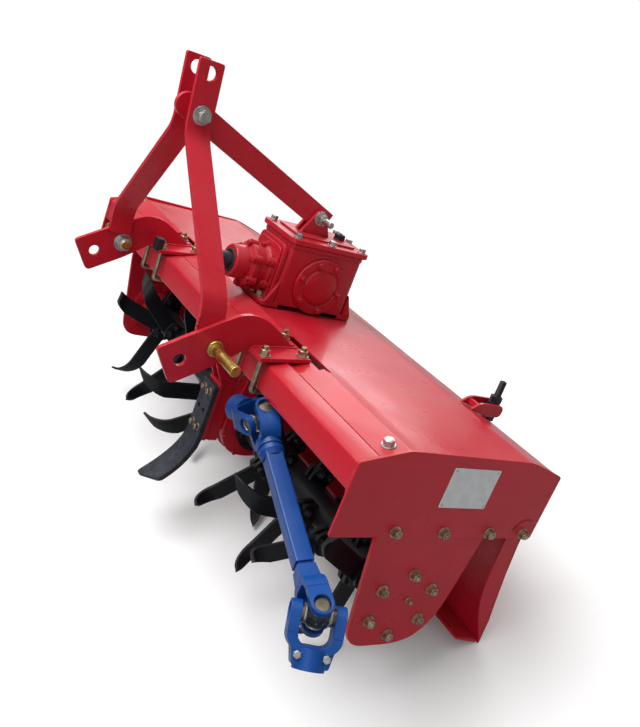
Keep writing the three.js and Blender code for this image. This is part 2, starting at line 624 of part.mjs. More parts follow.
// Each foot stands on the beam's ledge and on its stepped rear, so it slopes less than the beam.
function hitchPlate() {
  const rear = BEAM_DEPTH - FOOT_SETBACK;
  const seat = (y) => SEAT_GAP + THREE.MathUtils.mapLinear(
    y, BEAM_LEDGE, rear, slopeRise(BEAM_LEDGE), slopeRise(rear) - stepDown);
  const shape = new THREE.Shape();
  shape.moveTo(SPARE_HOLE_Y - 49, SPARE_HOLE_Z + 15);
  shape.lineTo(SPARE_HOLE_Y - 8, SPARE_HOLE_Z - 50);
  shape.lineTo(HITCH_PIN_Y + 44, HITCH_PIN_Z - 14);
  shape.lineTo(-14, seat(-14) + 2);
  shape.lineTo(rear, seat(rear) + 2);
  shape.lineTo(50, 52);
  shape.quadraticCurveTo(20, 80, -38, 76);
  shape.quadraticCurveTo(-64, 74, HITCH_PIN_Y, HITCH_PIN_Z + 56);
  const plate = profile(shape, HITCH_FACE - HITCH_PLATE_THICKNESS, HITCH_FACE);
  const foot = profile([
    at(FOOT_FRONT, seat(FOOT_FRONT)), at(rear, seat(rear)),
    at(rear, seat(rear) + FOOT_THICKNESS), at(FOOT_FRONT, seat(FOOT_FRONT) + FOOT_THICKNESS),
  ], footInner, footOuter);
  return cut(join(plate, foot),
    rodX(HITCH_FACE - 60, HITCH_FACE + 10, HITCH_PIN_Y, HITCH_PIN_Z, HITCH_PIN_RADIUS + SEAT_GAP),
    rodX(HITCH_FACE - 60, HITCH_FACE + 10, SPARE_HOLE_Y, SPARE_HOLE_Z, SPARE_HOLE_RADIUS));
}
addPair('hitch_plate', hitchPlate(), red);

function hitchPin() {
  const inner = HITCH_FACE - HITCH_PLATE_THICKNESS;
  return join(
    rodX(inner - 26, HITCH_FACE + HITCH_PIN_LENGTH, HITCH_PIN_Y, HITCH_PIN_Z, HITCH_PIN_RADIUS),
    rodX(HITCH_FACE + SEAT_GAP, HITCH_FACE + 8, HITCH_PIN_Y, HITCH_PIN_Z, HITCH_PIN_COLLAR),
    rodX(inner - 18, inner - SEAT_GAP, HITCH_PIN_Y, HITCH_PIN_Z, HITCH_PIN_COLLAR + 1, 6));
}
addPair('hitch_pin', hitchPin(), brass);

const topHoleZ = MAST_TOP_Z - TOP_HOLE_DROP;

// One flat bar from the hitch plate to the clevis, bent where it meets each.
function mastBar() {
  const t = MAST_BAR_THICKNESS;
  const foot = HITCH_FACE - HITCH_PLATE_THICKNESS - SEAT_GAP;
  const line = [
    at(CLEVIS_HALF_GAP, MAST_TOP_Z), at(CLEVIS_HALF_GAP, MAST_BEND_Z),
    at(foot - t, MAST_FOOT_BEND_Z), at(foot - t, MAST_FOOT_Z),
  ];
  const flat = new THREE.ExtrudeGeometry(new THREE.Shape(sheetOutline(line, -t)), {
    depth: MAST_BAR_WIDTH, bevelEnabled: false,
  });
  const lean = (MAST_TOP_Y - MAST_FOOT_Y) / (MAST_TOP_Z - MAST_FOOT_Z);
  const stand = new THREE.Matrix4().set(
    1, 0, 0, 0,
    0, lean, 1, MAST_FOOT_Y - MAST_BAR_WIDTH / 2 - lean * MAST_FOOT_Z,
    0, 1, 0, 0,
    0, 0, 0, 1);
  const bar = turnedOut(flat.applyMatrix4(stand));
  return cut(bar,
    rodX(0, 80, mastLine(topHoleZ), topHoleZ, TOP_HOLE_RADIUS),
    rodX(0, 80, mastLine(CROSS_BOLT_Z), CROSS_BOLT_Z, CROSS_BOLT_RADIUS + SEAT_GAP));
}
addPair('mast_bar', mastBar(), red);

function crossBolt() {
  const face = CLEVIS_HALF_GAP + MAST_BAR_THICKNESS + SEAT_GAP;
  const head = rodX(face, face + CROSS_BOLT_HEAD, braceStart.x, braceStart.y, 17, 6);
  return join(
    rodX(-face - 6, face + 6, braceStart.x, braceStart.y, CROSS_BOLT_RADIUS), head, mirrored(head));
}
add('cross_bolt', crossBolt(), zinc);

// A flat bar: its upper end is rounded and runs on past the cross bolt, its lower end is square.
function topBrace() {
  const along = braceEnd.clone().sub(braceStart).normalize();
  const way = Math.atan2(along.y, along.x);
  const start = braceStart.clone().addScaledVector(along, -BRACE_OVERRUN);
  const shape = new THREE.Shape();
  const side = at(-along.y, along.x).multiplyScalar(BRACE_WIDTH / 2);
  const foot = braceEnd.clone().addScaledVector(along, BRACE_FOOT);
  shape.moveTo(foot.x - side.x, foot.y - side.y);
  shape.lineTo(foot.x + side.x, foot.y + side.y);
  shape.absarc(start.x, start.y, BRACE_WIDTH / 2, way + Math.PI / 2, way + 3 * Math.PI / 2);
  const bar = profile(shape, -BRACE_THICKNESS / 2, BRACE_THICKNESS / 2);
  return cut(bar,
    rodX(-40, 40, braceStart.x, braceStart.y, CROSS_BOLT_RADIUS + SEAT_GAP),
    rodX(-40, 40, braceEnd.x, braceEnd.y, BRACE_BOLT_RADIUS + SEAT_GAP));
}
add('top_brace', topBrace(), red);

// ---- tailboard and its two adjusters ---------------------------------------------------------
function tailboard() {
  const end = frameEnd - TAILBOARD_END_GAP;
  const bends = [at(-12, TAILBOARD_TOP_Z), at(-9, -170), at(-2, -235), at(8, -300), at(18, -356)]
    .map((bend) => bend.add(at(HOOD_REAR, 0)));
  const sheet = profile(sheetOutline([...bends, at(LIP_Y, LIP_Z)], -SHEET), -end, end);
  const front = TAILBOARD_PIVOT_Y - TAILBOARD_FLANGE / 2;
  const flange = profile([
    ...bends.map((bend) => at(bend.x + 2, bend.y)), at(LIP_Y + 1, LIP_Z + 2),
    at(HOOD_REAR - 24, -332), at(HOOD_REAR - 40, -285), at(HOOD_REAR - 46, -230),
    at(front, -160), at(front + 2, TAILBOARD_TOP_Z),
  ], end - SHEET, end);
  const pivot = rodX(end - SHEET - 8, HALF_WIDTH - 1, TAILBOARD_PIVOT_Y, TAILBOARD_PIVOT_Z,
    TAILBOARD_PIN_RADIUS, 16);
  const lug = profile([
    at(HOOD_REAR - 1, LUG_Z + 28), at(HOOD_REAR + 4, LUG_Z - 28), at(LUG_Y + 6, LUG_Z - 12),
    at(LUG_Y + 12, LUG_Z), at(LUG_Y + 6, LUG_Z + 12),
  ], ADJUSTER_X + EYE_WIDTH / 2 + 6, ADJUSTER_X + EYE_WIDTH / 2 + 6 + LUG_THICKNESS);
  const lugPin = rodX(ADJUSTER_X - EYE_WIDTH / 2 - 2, ADJUSTER_X + EYE_WIDTH / 2 + 7,
    LUG_Y, LUG_Z, LUG_PIN_RADIUS, 16);
  const half = [flange, pivot, lug, lugPin];
  return join(sheet, ...half, ...half.map(mirrored));
}
add('tailboard', tailboard(), red);

const hoodFall = (y) => THREE.MathUtils.mapLinear(y, HOOD_FLAT_END, HOOD_REAR, hoodTop, HOOD_REAR_TOP);

// Two cheeks welded on the hood's falling rear edge carry the pivot block between them.
function adjusterBracket() {
  const inner = BLOCK_HALF_WIDTH + RUNNING_GAP;
  const cheek = profile([
    at(HOOD_REAR - 52, hoodFall(HOOD_REAR - 52) + SEAT_GAP + 0.2),
    at(HOOD_REAR - 2, hoodFall(HOOD_REAR - 2) + SEAT_GAP + 0.2),
    at(ADJUSTER_Y + 8, ADJUSTER_Z - 14), at(ADJUSTER_Y + 14, ADJUSTER_Z),
    at(ADJUSTER_Y + 8, ADJUSTER_Z + 13), at(HOOD_REAR - 30, ADJUSTER_Z + 14),
  ], ADJUSTER_X + inner, ADJUSTER_X + inner + BLOCK_CHEEK);
  const other = cheek.clone().translate(-2 * inner - BLOCK_CHEEK, 0, 0);
  const tie = box(ADJUSTER_X - inner - 2, ADJUSTER_X + inner + 2, HOOD_REAR - 34, HOOD_REAR - 26,
    ADJUSTER_Z - 3, ADJUSTER_Z + 9);
  return cut(join(cheek, other, tie), rodX(ADJUSTER_X - 40, ADJUSTER_X + 40, ADJUSTER_Y, ADJUSTER_Z,
    BLOCK_PIN_RADIUS + RUNNING_GAP));
}
addPair('adjuster_bracket', adjusterBracket(), red);

const rodTop = at(ADJUSTER_Y, ADJUSTER_Z);
const rodEye = at(LUG_Y, LUG_Z);
const rodWay = rodTop.clone().sub(rodEye).normalize();
const rodPoint = (distance) => {
  const spot = rodEye.clone().addScaledVector(rodWay, distance);
  return new THREE.Vector3(ADJUSTER_X, spot.x, spot.y);
};

function adjusterBlock() {
  const reach = rodTop.distanceTo(rodEye);
  const barrel = rodX(ADJUSTER_X - BLOCK_HALF_WIDTH, ADJUSTER_X + BLOCK_HALF_WIDTH,
    rodTop.x, rodTop.y, BLOCK_RADIUS);
  const pins = rodX(ADJUSTER_X - BLOCK_HALF_WIDTH - BLOCK_CHEEK, ADJUSTER_X + BLOCK_HALF_WIDTH
    + BLOCK_CHEEK, rodTop.x, rodTop.y, BLOCK_PIN_RADIUS, 16);
  return cut(join(barrel, pins),
    rod(rodPoint(reach - 30), rodPoint(reach + 30), ADJUSTER_ROD_RADIUS + RUNNING_GAP));
}
addPair('adjuster_block', adjusterBlock(), black);

function adjusterRod() {
  const reach = rodTop.distanceTo(rodEye);
  const bar = rod(rodPoint(8), rodPoint(reach + ADJUSTER_ABOVE), ADJUSTER_ROD_RADIUS);
  const eye = rodX(ADJUSTER_X - EYE_WIDTH / 2, ADJUSTER_X + EYE_WIDTH / 2,
    rodEye.x, rodEye.y, EYE_RADIUS);
  const nut = rod(rodPoint(reach + 15), rodPoint(reach + 29), 14, 6);
  return cut(join(bar, eye, nut), rodX(ADJUSTER_X - EYE_WIDTH, ADJUSTER_X + EYE_WIDTH, rodEye.x, rodEye.y,
    LUG_PIN_RADIUS + EYE_CLEARANCE));
}
addPair('adjuster_rod', adjusterRod(), black);

// ---- stowed drive shaft -----------------------------------------------------------------------
// Fork of a universal joint: its pin lies along x, its hub along +z, its joint's centre at 0.
function fork(hubRadius, hubLength, ear) {
  const half = YOKE_GAP / 2;
  const outer = half + ear;
  const base = YOKE_REACH + YOKE_BASE;
  const shape = new THREE.Shape();
  shape.moveTo(-outer, -YOKE_WIDTH / 2);
  shape.lineTo(-half, -YOKE_WIDTH / 2);
  shape.lineTo(-half, YOKE_REACH - YOKE_ROOT);
  shape.quadraticCurveTo(-half, YOKE_REACH, -half + YOKE_ROOT, YOKE_REACH);
  shape.lineTo(half - YOKE_ROOT, YOKE_REACH);
  shape.quadraticCurveTo(half, YOKE_REACH, half, YOKE_REACH - YOKE_ROOT);
  shape.lineTo(half, -YOKE_WIDTH / 2);
  shape.lineTo(outer, -YOKE_WIDTH / 2);
  shape.lineTo(outer, base - YOKE_SHOULDER);
  shape.quadraticCurveTo(outer - 2, base, hubRadius, base);
  shape.lineTo(-hubRadius, base);
  shape.quadraticCurveTo(-outer + 2, base, -outer, base - YOKE_SHOULDER);
  const bow = new THREE.ExtrudeGeometry(shape, {
    depth: YOKE_WIDTH, bevelEnabled: false, curveSegments: 4,
  }).rotateX(Math.PI / 2).translate(0, YOKE_WIDTH / 2, 0);
  const rounded = join(rodX(-outer, outer, 0, 0, YOKE_WIDTH / 2, 20),
    box(-outer, outer, -YOKE_WIDTH / 2, YOKE_WIDTH / 2, 0, base + 1));
  const relieved = join(new THREE.SphereGeometry(outer + 1, 18, 10),
    box(-outer, outer, -YOKE_WIDTH / 2, YOKE_WIDTH / 2, YOKE_WIDTH / 2, base + 1));
  const ears = cut(common(common(bow, rounded), relieved), rodX(-outer - 1, outer + 1, 0, 0,
    TRUNNION_RADIUS + RUNNING_GAP));
  const hub = rod(new THREE.Vector3(0, 0, base - 8), new THREE.Vector3(0, 0, base + hubLength),
    hubRadius, 20);
  return join(ears, hub);
}

// Trunnion cross: one pair of arms along x, the other along y.
function cross() {
  const arm = YOKE_GAP / 2 + YOKE_EAR - 2;
  return join(
    rodX(-arm, arm, 0, 0, TRUNNION_RADIUS, 12), rodY(-arm, arm, 0, 0, TRUNNION_RADIUS, 12),
    new THREE.SphereGeometry(TRUNNION_RADIUS * 1.5, 12, 8));
}

// Places a local shape with its z along way and its x along pin.
function stand(pin, way, centre) {
  const side = new THREE.Vector3().crossVectors(way, pin).normalize();
  return new THREE.Matrix4().makeBasis(pin, side, way).setPosition(centre);
}

const outboardJoint = new THREE.Vector3(
  SHAFT_OUTBOARD_X, ROTOR_Y - BLADE_RADIUS - SHAFT_BLADE_CLEARANCE, -BEAM_HEIGHT - SHAFT_OUTBOARD_DROP);
const inboardJoint = new THREE.Vector3(SHAFT_INBOARD_X, SHAFT_INBOARD_Y, -BEAM_HEIGHT - SHAFT_INBOARD_DROP);
const shaftWay = outboardJoint.clone().sub(inboardJoint).normalize();
const shaftLength = outboardJoint.distanceTo(inboardJoint);
const upright = new THREE.Vector3(0, 0, 1);
const shaftPin = new THREE.Vector3().crossVectors(shaftWay, upright).normalize()
  .applyAxisAngle(shaftWay, SHAFT_ROLL);
const hubEnd = YOKE_REACH + YOKE_BASE + YOKE_HUB;

function squareBar(side, start, end) {
  return new THREE.BoxGeometry(side, side, end - start).translate(0, 0, (start + end) / 2);
}

// Inboard half: fork, collar and the square outer tube.
function shaftTube() {
  const end = shaftLength - hubEnd - 6;
  const body = join(fork(SHAFT_COLLAR_RADIUS, YOKE_HUB, YOKE_EAR), squareBar(SHAFT_TUBE, hubEnd - 10, end));
  const bore = squareBar(SHAFT_TUBE - 2 * SHAFT_TUBE_WALL, hubEnd, end + 1);
  return cut(body, bore).applyMatrix4(stand(shaftPin, shaftWay, inboardJoint));
}

// Outboard half: fork, hub and the square bar that slides in the tube.
function shaftBar() {
  const side = SHAFT_TUBE - 2 * SHAFT_TUBE_WALL - 2 * RUNNING_GAP;
  const bar = squareBar(side, hubEnd - 10, hubEnd + SHAFT_BAR_OVERLAP);
  return join(fork(SHAFT_COLLAR_RADIUS, YOKE_HUB, YOKE_EAR), bar)
    .applyMatrix4(stand(shaftPin, shaftWay.clone().negate(), outboardJoint));
}

function endFork(way, centre, ear) {
  const pin = new THREE.Vector3().crossVectors(shaftPin, way).normalize();
  const bored = cut(fork(YOKE_HUB_RADIUS, YOKE_HUB, ear),
    rod(new THREE.Vector3(0, 0, YOKE_REACH - 1), new THREE.Vector3(0, 0, hubEnd + 1), SPLINE_BORE));
  return bored.applyMatrix4(stand(pin, way, centre));
}

function placedCross(way, centre) {
  const pin = new THREE.Vector3().crossVectors(shaftPin, way).normalize();
  return cross().applyMatrix4(stand(pin, new THREE.Vector3().crossVectors(pin, shaftPin), centre));
}

add('shaft_tube', shaftTube(), blue);
add('shaft_inboard_cross', placedCross(STOWED_YOKE, inboardJoint), zinc);
add('shaft_inboard_yoke', endFork(STOWED_YOKE, inboardJoint, YOKE_EAR), blue);
add('shaft_bar', shaftBar(), blue);
add('shaft_outboard_cross', placedCross(HANGING_YOKE, outboardJoint), zinc);
add('shaft_outboard_yoke', endFork(HANGING_YOKE, outboardJoint, END_YOKE_EAR), blue);

// ---- parked stance -----------------------------------------------------------------------------
machine.rotation.x = -parkedTilt;
machine.updateMatrixWorld(true);
const extent = new THREE.Box3().setFromObject(machine, true);
machine.position.set(-(extent.min.x + extent.max.x) / 2, -(extent.min.y + extent.max.y) / 2, -extent.min.z);

const tiller = new THREE.Group();
tiller.name = 'rotary_tiller';
tiller.add(machine);
tiller.updateMatrixWorld(true);

export default tiller;
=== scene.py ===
import json
from math import atan2, cos, pi, radians, sin, tau

import bmesh
import bpy
from mathutils import Matrix, Vector, noise


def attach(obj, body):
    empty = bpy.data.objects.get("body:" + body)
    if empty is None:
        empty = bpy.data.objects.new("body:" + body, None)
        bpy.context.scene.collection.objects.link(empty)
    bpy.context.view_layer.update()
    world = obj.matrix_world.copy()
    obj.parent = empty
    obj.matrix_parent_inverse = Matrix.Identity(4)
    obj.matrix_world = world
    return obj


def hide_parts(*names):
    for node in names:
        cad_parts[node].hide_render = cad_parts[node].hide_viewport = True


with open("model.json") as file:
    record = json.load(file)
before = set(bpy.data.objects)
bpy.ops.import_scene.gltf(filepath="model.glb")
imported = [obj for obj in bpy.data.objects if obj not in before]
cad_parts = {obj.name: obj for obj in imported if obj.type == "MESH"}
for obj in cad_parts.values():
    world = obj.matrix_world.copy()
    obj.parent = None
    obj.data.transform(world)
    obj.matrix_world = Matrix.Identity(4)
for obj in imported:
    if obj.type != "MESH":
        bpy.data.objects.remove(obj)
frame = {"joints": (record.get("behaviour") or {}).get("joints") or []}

scene = bpy.context.scene
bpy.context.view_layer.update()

# ---- studio ---------------------------------------------------------------------------------------
# The camera looks down on the machine's left-hand front corner from a little above head height.
# A pale paper floor, a pale sky and three large soft lamps light it.
EYE = Vector((1652, -871, 553))
LOOK = Vector((-0.7600, 0.5713, -0.3098)).normalized()
ACROSS = Vector((0.4694, 0.8122, 0.3465)).normalized()
LENS = 43.43
SENSOR = 36
FLOOR_SIZE = 15
SOFT_GREY = (0.36, 0.36, 0.36, 1)
PAPER = (0.95, 0.95, 0.95, 1)
WHITE = (1, 1, 1, 1)
FADE_FROM, FADE_TO = 0.9, 2.2       # metres from the machine, between which the floor turns white
HORIZON, ZENITH = 0.10, 0.70
LIT_SPOT = Vector((0, 0, 0.4))

# Every piece is drawn in the machine's own axes, in millimetres: x to its left-hand end, y rearward
# from the beam's front face and z up from the beam's front top edge. Parked, it leans back.
rotor_axis = Vector((0, 232, -296))
joints = {joint["name"]: joint for joint in frame["joints"]}
drive_way = joints["drive_input_spin"]["axis"]
lean_back = atan2(-drive_way[2], drive_way[1])
leaned = Matrix.Rotation(-lean_back, 4, "X")
machine = (Matrix.Translation(joints["rotor_spin"]["pos_m"]) @ leaned
           @ Matrix.Scale(0.001, 4) @ Matrix.Translation(-rotor_axis))


def stand_in_scene(name, data):
    stood_up = bpy.data.objects.new(name, data)
    scene.collection.objects.link(stood_up)
    return stood_up


def feed(tree, node, inputs):
    """Sets a node's inputs, each to a value or to another node's output."""
    for socket, value in inputs.items():
        if isinstance(value, bpy.types.NodeSocket):
            tree.links.new(value, node.inputs[socket])
        else:
            node.inputs[socket].default_value = value


def add_node(tree, kind, inputs=None, **settings):
    node = tree.nodes.new("ShaderNode" + kind)
    for setting, value in settings.items():
        setattr(node, setting, value)
    feed(tree, node, inputs or {})
    return node


def arithmetic(tree, operation, first, second):
    return add_node(tree, "Math", {0: first, 1: second}, operation=operation).outputs[0]


def blend_colours(tree, factor, first, second):
    inputs = {"Factor": factor, "A": first, "B": second}
    return add_node(tree, "Mix", inputs, data_type="RGBA").outputs["Result"]


def blank_material(name):
    material = bpy.data.materials.new(name)
    material.use_nodes = True
    return material, material.node_tree, material.node_tree.nodes["Principled BSDF"]


camera_data = bpy.data.cameras.new("camera")
camera_data.lens = LENS
camera_data.sensor_width = SENSOR
camera = stand_in_scene("camera", camera_data)
upward = ACROSS.cross(LOOK).normalized()
aim = Matrix((ACROSS, upward, -LOOK)).transposed().to_4x4()
camera.matrix_world = Matrix.Translation(machine @ EYE) @ leaned @ aim
scene.camera = camera
scene.view_settings.view_transform = "Standard"

paper, sweep, matt = blank_material("floor_paper")
camera_ray = add_node(sweep, "LightPath").outputs["Is Camera Ray"]
feed(sweep, matt, {"Roughness": 0.9, "Base Color": blend_colours(sweep, camera_ray, SOFT_GREY, PAPER)})
spot = add_node(sweep, "TexCoord").outputs["Object"]
distance = add_node(sweep, "VectorMath", {0: spot}, operation="LENGTH")
fade = add_node(sweep, "MapRange", {"Value": distance.outputs["Value"],
                                    "From Min": FADE_FROM, "From Max": FADE_TO},
                interpolation_type="SMOOTHSTEP")
backdrop = add_node(sweep, "MixShader", {
    "Fac": arithmetic(sweep, "MULTIPLY", fade.outputs["Result"], camera_ray),
    1: matt.outputs["BSDF"], 2: add_node(sweep, "Emission", {"Color": WHITE}).outputs["Emission"]})
feed(sweep, sweep.nodes["Material Output"], {"Surface": backdrop.outputs["Shader"]})
floor_mesh = bmesh.new()
bmesh.ops.create_grid(floor_mesh, x_segments=1, y_segments=1, size=FLOOR_SIZE)
floor_data = bpy.data.meshes.new("studio_floor")
floor_mesh.to_mesh(floor_data)
floor_mesh.free()
floor_data.materials.append(paper)
stand_in_scene("studio_floor", floor_data)

world = bpy.data.worlds.new("pale_sky")
scene.world = world
world.use_nodes = True
sky = world.node_tree
rays = add_node(sky, "LightPath").outputs
seen = arithmetic(sky, "MAXIMUM", rays["Is Camera Ray"], rays["Is Transmission Ray"])
height = add_node(sky, "SeparateXYZ", {0: add_node(sky, "TexCoord").outputs["Generated"]}).outputs["Z"]
climb = add_node(sky, "MapRange", {"Value": height, "To Min": HORIZON, "To Max": ZENITH}).outputs["Result"]
feed(sky, sky.nodes["Background"], {"Color": blend_colours(sky, seen, climb, WHITE)})

for name, spot, size, power in (("overhead", (-0.3, -0.6, 3.4), 2.6, 118),
                                ("front_side", (2.6, -2.2, 1.6), 1.8, 17),
                                ("low_far_side", (-3.4, 3.0, 1.75), 2.3, 62)):
    light = bpy.data.lights.new(name, "AREA")
    light.size = size
    light.energy = power
    lamp = stand_in_scene(name, light)
    lamp.location = spot
    lamp.visible_camera = False
    lamp.rotation_euler = (LIT_SPOT - Vector(spot)).to_track_quat("-Z", "Y").to_euler()


# ---- front beam -----------------------------------------------------------------------------------
# A folded hollow section that carries everything else. Its top slopes up to the rear and steps down
# to seat the hood's front edge; each end is welded to an end plate. Like the rest of the frame it is
# sprayed with gloss red enamel, thin and rubbed on its edges and a little dusty where it faces up.
HALF_WIDTH = 692
END_PLATE = 6
SEAT_GAP = 0.3
SLOPE = 0.2962          # rise of the beam's top for each millimetre rearward
LEDGE = 40              # bare front strip of the beam's top
BEAM_DEPTH = 95
BEAM_BOTTOM = -56
BEAM_REAR_TOP = 18.9
DUST = (0.42, 0.38, 0.34, 1)
COAT_ROUGHNESS = 0.09
frame_end = HALF_WIDTH - END_PLATE - SEAT_GAP


def noise_field(tree, scale, detail=4, stretch=(1, 1, 1)):
    place = {"Vector": add_node(tree, "TexCoord").outputs["Object"], "Scale": stretch}
    inputs = {"Vector": add_node(tree, "Mapping", place).outputs["Vector"], "Scale": scale, "Detail": detail}
    return add_node(tree, "TexNoise", inputs).outputs["Fac"]


def remap(tree, value, low, high, to_low=0.0, to_high=1.0):
    inputs = {"Value": value, "From Min": low, "From Max": high, "To Min": to_low, "To Max": to_high}
    return add_node(tree, "MapRange", inputs).outputs["Result"]


def blank_group(name, inputs):
    """A node group that takes the named numbers and gives a mask."""
    group = bpy.data.node_groups.new(name, "ShaderNodeTree")
    for label, value in inputs.items():
        group.interface.new_socket(label, in_out="INPUT", socket_type="NodeSocketFloat").default_value = value
    group.interface.new_socket("Mask", in_out="OUTPUT", socket_type="NodeSocketFloat")
    return group, group.nodes.new("NodeGroupInput").outputs, group.nodes.new("NodeGroupOutput")


def mask(tree, group, **amounts):
    return add_node(tree, "Group", amounts, node_tree=group).outputs["Mask"]


# How near a point is to a hard edge: 1 on the edge, 0 on open surface, broken up by noise.
edge_rub, given, result = blank_group("edge_rub", {"Reach": 0.003, "Amount": 0.5})
eased_normal = add_node(edge_rub, "Bevel", {"Radius": given["Reach"]}, samples=4).outputs["Normal"]
true_normal = add_node(edge_rub, "NewGeometry").outputs["Normal"]
turning = add_node(edge_rub, "VectorMath", {0: eased_normal, 1: true_normal}, operation="DOT_PRODUCT")
edge_line = remap(edge_rub, turning.outputs["Value"], 0.985, 0.86)
speckle = remap(edge_rub, noise_field(edge_rub, 70, 6), 0.45, 0.62)
rubbed = arithmetic(edge_rub, "MULTIPLY", edge_line, speckle)
feed(edge_rub, result, {"Mask": arithmetic(edge_rub, "MULTIPLY", rubbed, given["Amount"])})

# Light dust that settles where a surface faces up, in soft patches.
settled_dust, given, result = blank_group("settled_dust", {"Amount": 0.2})
normal = add_node(settled_dust, "NewGeometry").outputs["Normal"]
up_facing = remap(settled_dust, add_node(settled_dust, "SeparateXYZ", {0: normal}).outputs["Z"], 0.45, 0.95)
patches = remap(settled_dust, noise_field(settled_dust, 9, 6), 0.4, 0.75)
dusty = arithmetic(settled_dust, "MULTIPLY", up_facing, patches)
feed(settled_dust, result, {"Mask": arithmetic(settled_dust, "MULTIPLY", dusty, given["Amount"])})

# Long fine scratches, thin lines of a stretched noise.
fine_scratches, given, result = blank_group("fine_scratches", {"Amount": 0.3})
long_lines = remap(fine_scratches, noise_field(fine_scratches, 26, 3, (0.5, 9, 9)), 0.66, 0.72)
cross_lines = remap(fine_scratches, noise_field(fine_scratches, 30, 3, (8, 0.6, 8)), 0.67, 0.72)
scored = arithmetic(fine_scratches, "MAXIMUM", long_lines, cross_lines)
feed(fine_scratches, result, {"Mask": arithmetic(fine_scratches, "MULTIPLY", scored, given["Amount"])})


def enamel(name, slot, light, deep, primer, wear, gloss, peel=0.1, coat=0.22, dust=0.1):
    """A sprayed paint and its slot: light where the coat is thick, deep where it is thin."""
    material, tree, shader = blank_material(name)
    rub = mask(tree, edge_rub, Amount=wear)
    marks = mask(tree, fine_scratches, Amount=0.07)
    dusted = mask(tree, settled_dust, Amount=dust)
    thick = remap(tree, noise_field(tree, 5, 5), 0.35, 0.68)
    colour = blend_colours(tree, thick, (*deep, 1), (*light, 1))
    colour = blend_colours(tree, marks, colour, (*[min(1, c * 1.5 + 0.05) for c in light], 1))
    colour = blend_colours(tree, dusted, colour, DUST)
    colour = blend_colours(tree, rub, colour, (*primer, 1))
    smear = remap(tree, noise_field(tree, 14, 5), 0.3, 0.7, gloss, gloss + 0.14)
    matted = arithmetic(tree, "MULTIPLY", arithmetic(tree, "ADD", rub, dusted), 0.5)
    grain = arithmetic(tree, "SUBTRACT", noise_field(tree, 260, 2), rub)
    skin = add_node(tree, "Bump", {"Strength": peel, "Distance": 0.0006, "Height": grain})
    feed(tree, shader, {"Base Color": colour, "Roughness": arithmetic(tree, "ADD", smear, matted),
                        "Normal": skin.outputs["Normal"], "Specular IOR Level": 0.3,
                        "Coat Weight": coat, "Coat Roughness": COAT_ROUGHNESS})
    return material, slot


def curve(first, corner, last, steps):
    """Points from first to last along the curve that the corner draws out."""
    parts = [step / steps for step in range(steps + 1)]
    return [first * (1 - t) ** 2 + corner * 2 * t * (1 - t) + last * t ** 2 for t in parts]


def rounded(corners, steps=5):
    """An outline from (a, b, radius) corners, each rounded by a curve that starts radius away."""
    outline = []
    for i, (a, b, radius) in enumerate(corners):
        here = Vector((a, b))
        before = Vector(corners[i - 1][:2]) - here
        after = Vector(corners[(i + 1) % len(corners)][:2]) - here
        if not radius:
            outline.append((a, b))
            continue
        first = here + before.normalized() * min(radius, before.length * 0.49)
        last = here + after.normalized() * min(radius, after.length * 0.49)
        outline += [tuple(spot) for spot in curve(first, here, last, steps)]
    return outline


def verts_in(parts):
    return [part for part in parts if isinstance(part, bmesh.types.BMVert)]


def faces_in(parts):
    return [part for part in parts if isinstance(part, bmesh.types.BMFace)]


def faces_round(verts):
    return list({face for vert in verts for face in vert.link_faces})


def on_circle(centre, radius, angles):
    """Points on a circle, in the two axes of its plane."""
    return [(centre[0] + radius * cos(angle), centre[1] + radius * sin(angle)) for angle in angles]


def slab(bm, outline, x0, x1, holes=()):
    """A plate: an outline in (y, z), with round holes (y, z, radius), x0 to x1 thick."""
    edges = []
    circles = [on_circle((y, z), radius, [tau * k / 28 for k in range(28)]) for y, z, radius in holes]
    for line in [outline] + circles:
        loop = [bm.verts.new((x0, y, z)) for y, z in line]
        edges += [bm.edges.new(pair) for pair in zip(loop, loop[1:] + loop[:1])]
    if holes:
        filled = bmesh.ops.triangle_fill(bm, use_beauty=True, use_dissolve=False, edges=edges)["geom"]
        faces = faces_in(filled)
    else:
        faces = [bm.faces.new(loop)]
    grown = bmesh.ops.extrude_face_region(bm, geom=faces)["geom"]
    moved = verts_in(grown)
    bmesh.ops.translate(bm, vec=(x1 - x0, 0, 0), verts=moved)
    whole = {vert for face in faces if face.is_valid for vert in face.verts} | set(moved)
    bmesh.ops.recalc_face_normals(bm, faces=faces_round(whole))
    return list(whole)


def weld(bm, start, end, radius=3.2, pitch=3.4):
    """A weld bead: a row of overlapping drops, each a little different."""
    start, end = Vector(start), Vector(end)
    count = max(2, round((end - start).length / pitch))
    for k in range(count + 1):
        spot = start.lerp(end, k / count)
        size = radius * (1 + 0.22 * noise.noise(spot * 0.31))
        lift = Vector((0.0, noise.noise(spot * 0.2) * 0.5, 0.4 * noise.noise(spot * 0.17)))
        bmesh.ops.create_icosphere(bm, subdivisions=1, radius=size, matrix=Matrix.Translation(spot + lift))


def mirror_across(bm):
    """Adds the right-hand copy of what stands at the left-hand end."""
    copy = bmesh.ops.duplicate(bm, geom=bm.verts[:] + bm.edges[:] + bm.faces[:])["geom"]
    bmesh.ops.scale(bm, vec=(-1, 1, 1), verts=verts_in(copy))
    bmesh.ops.reverse_faces(bm, faces=faces_in(copy))


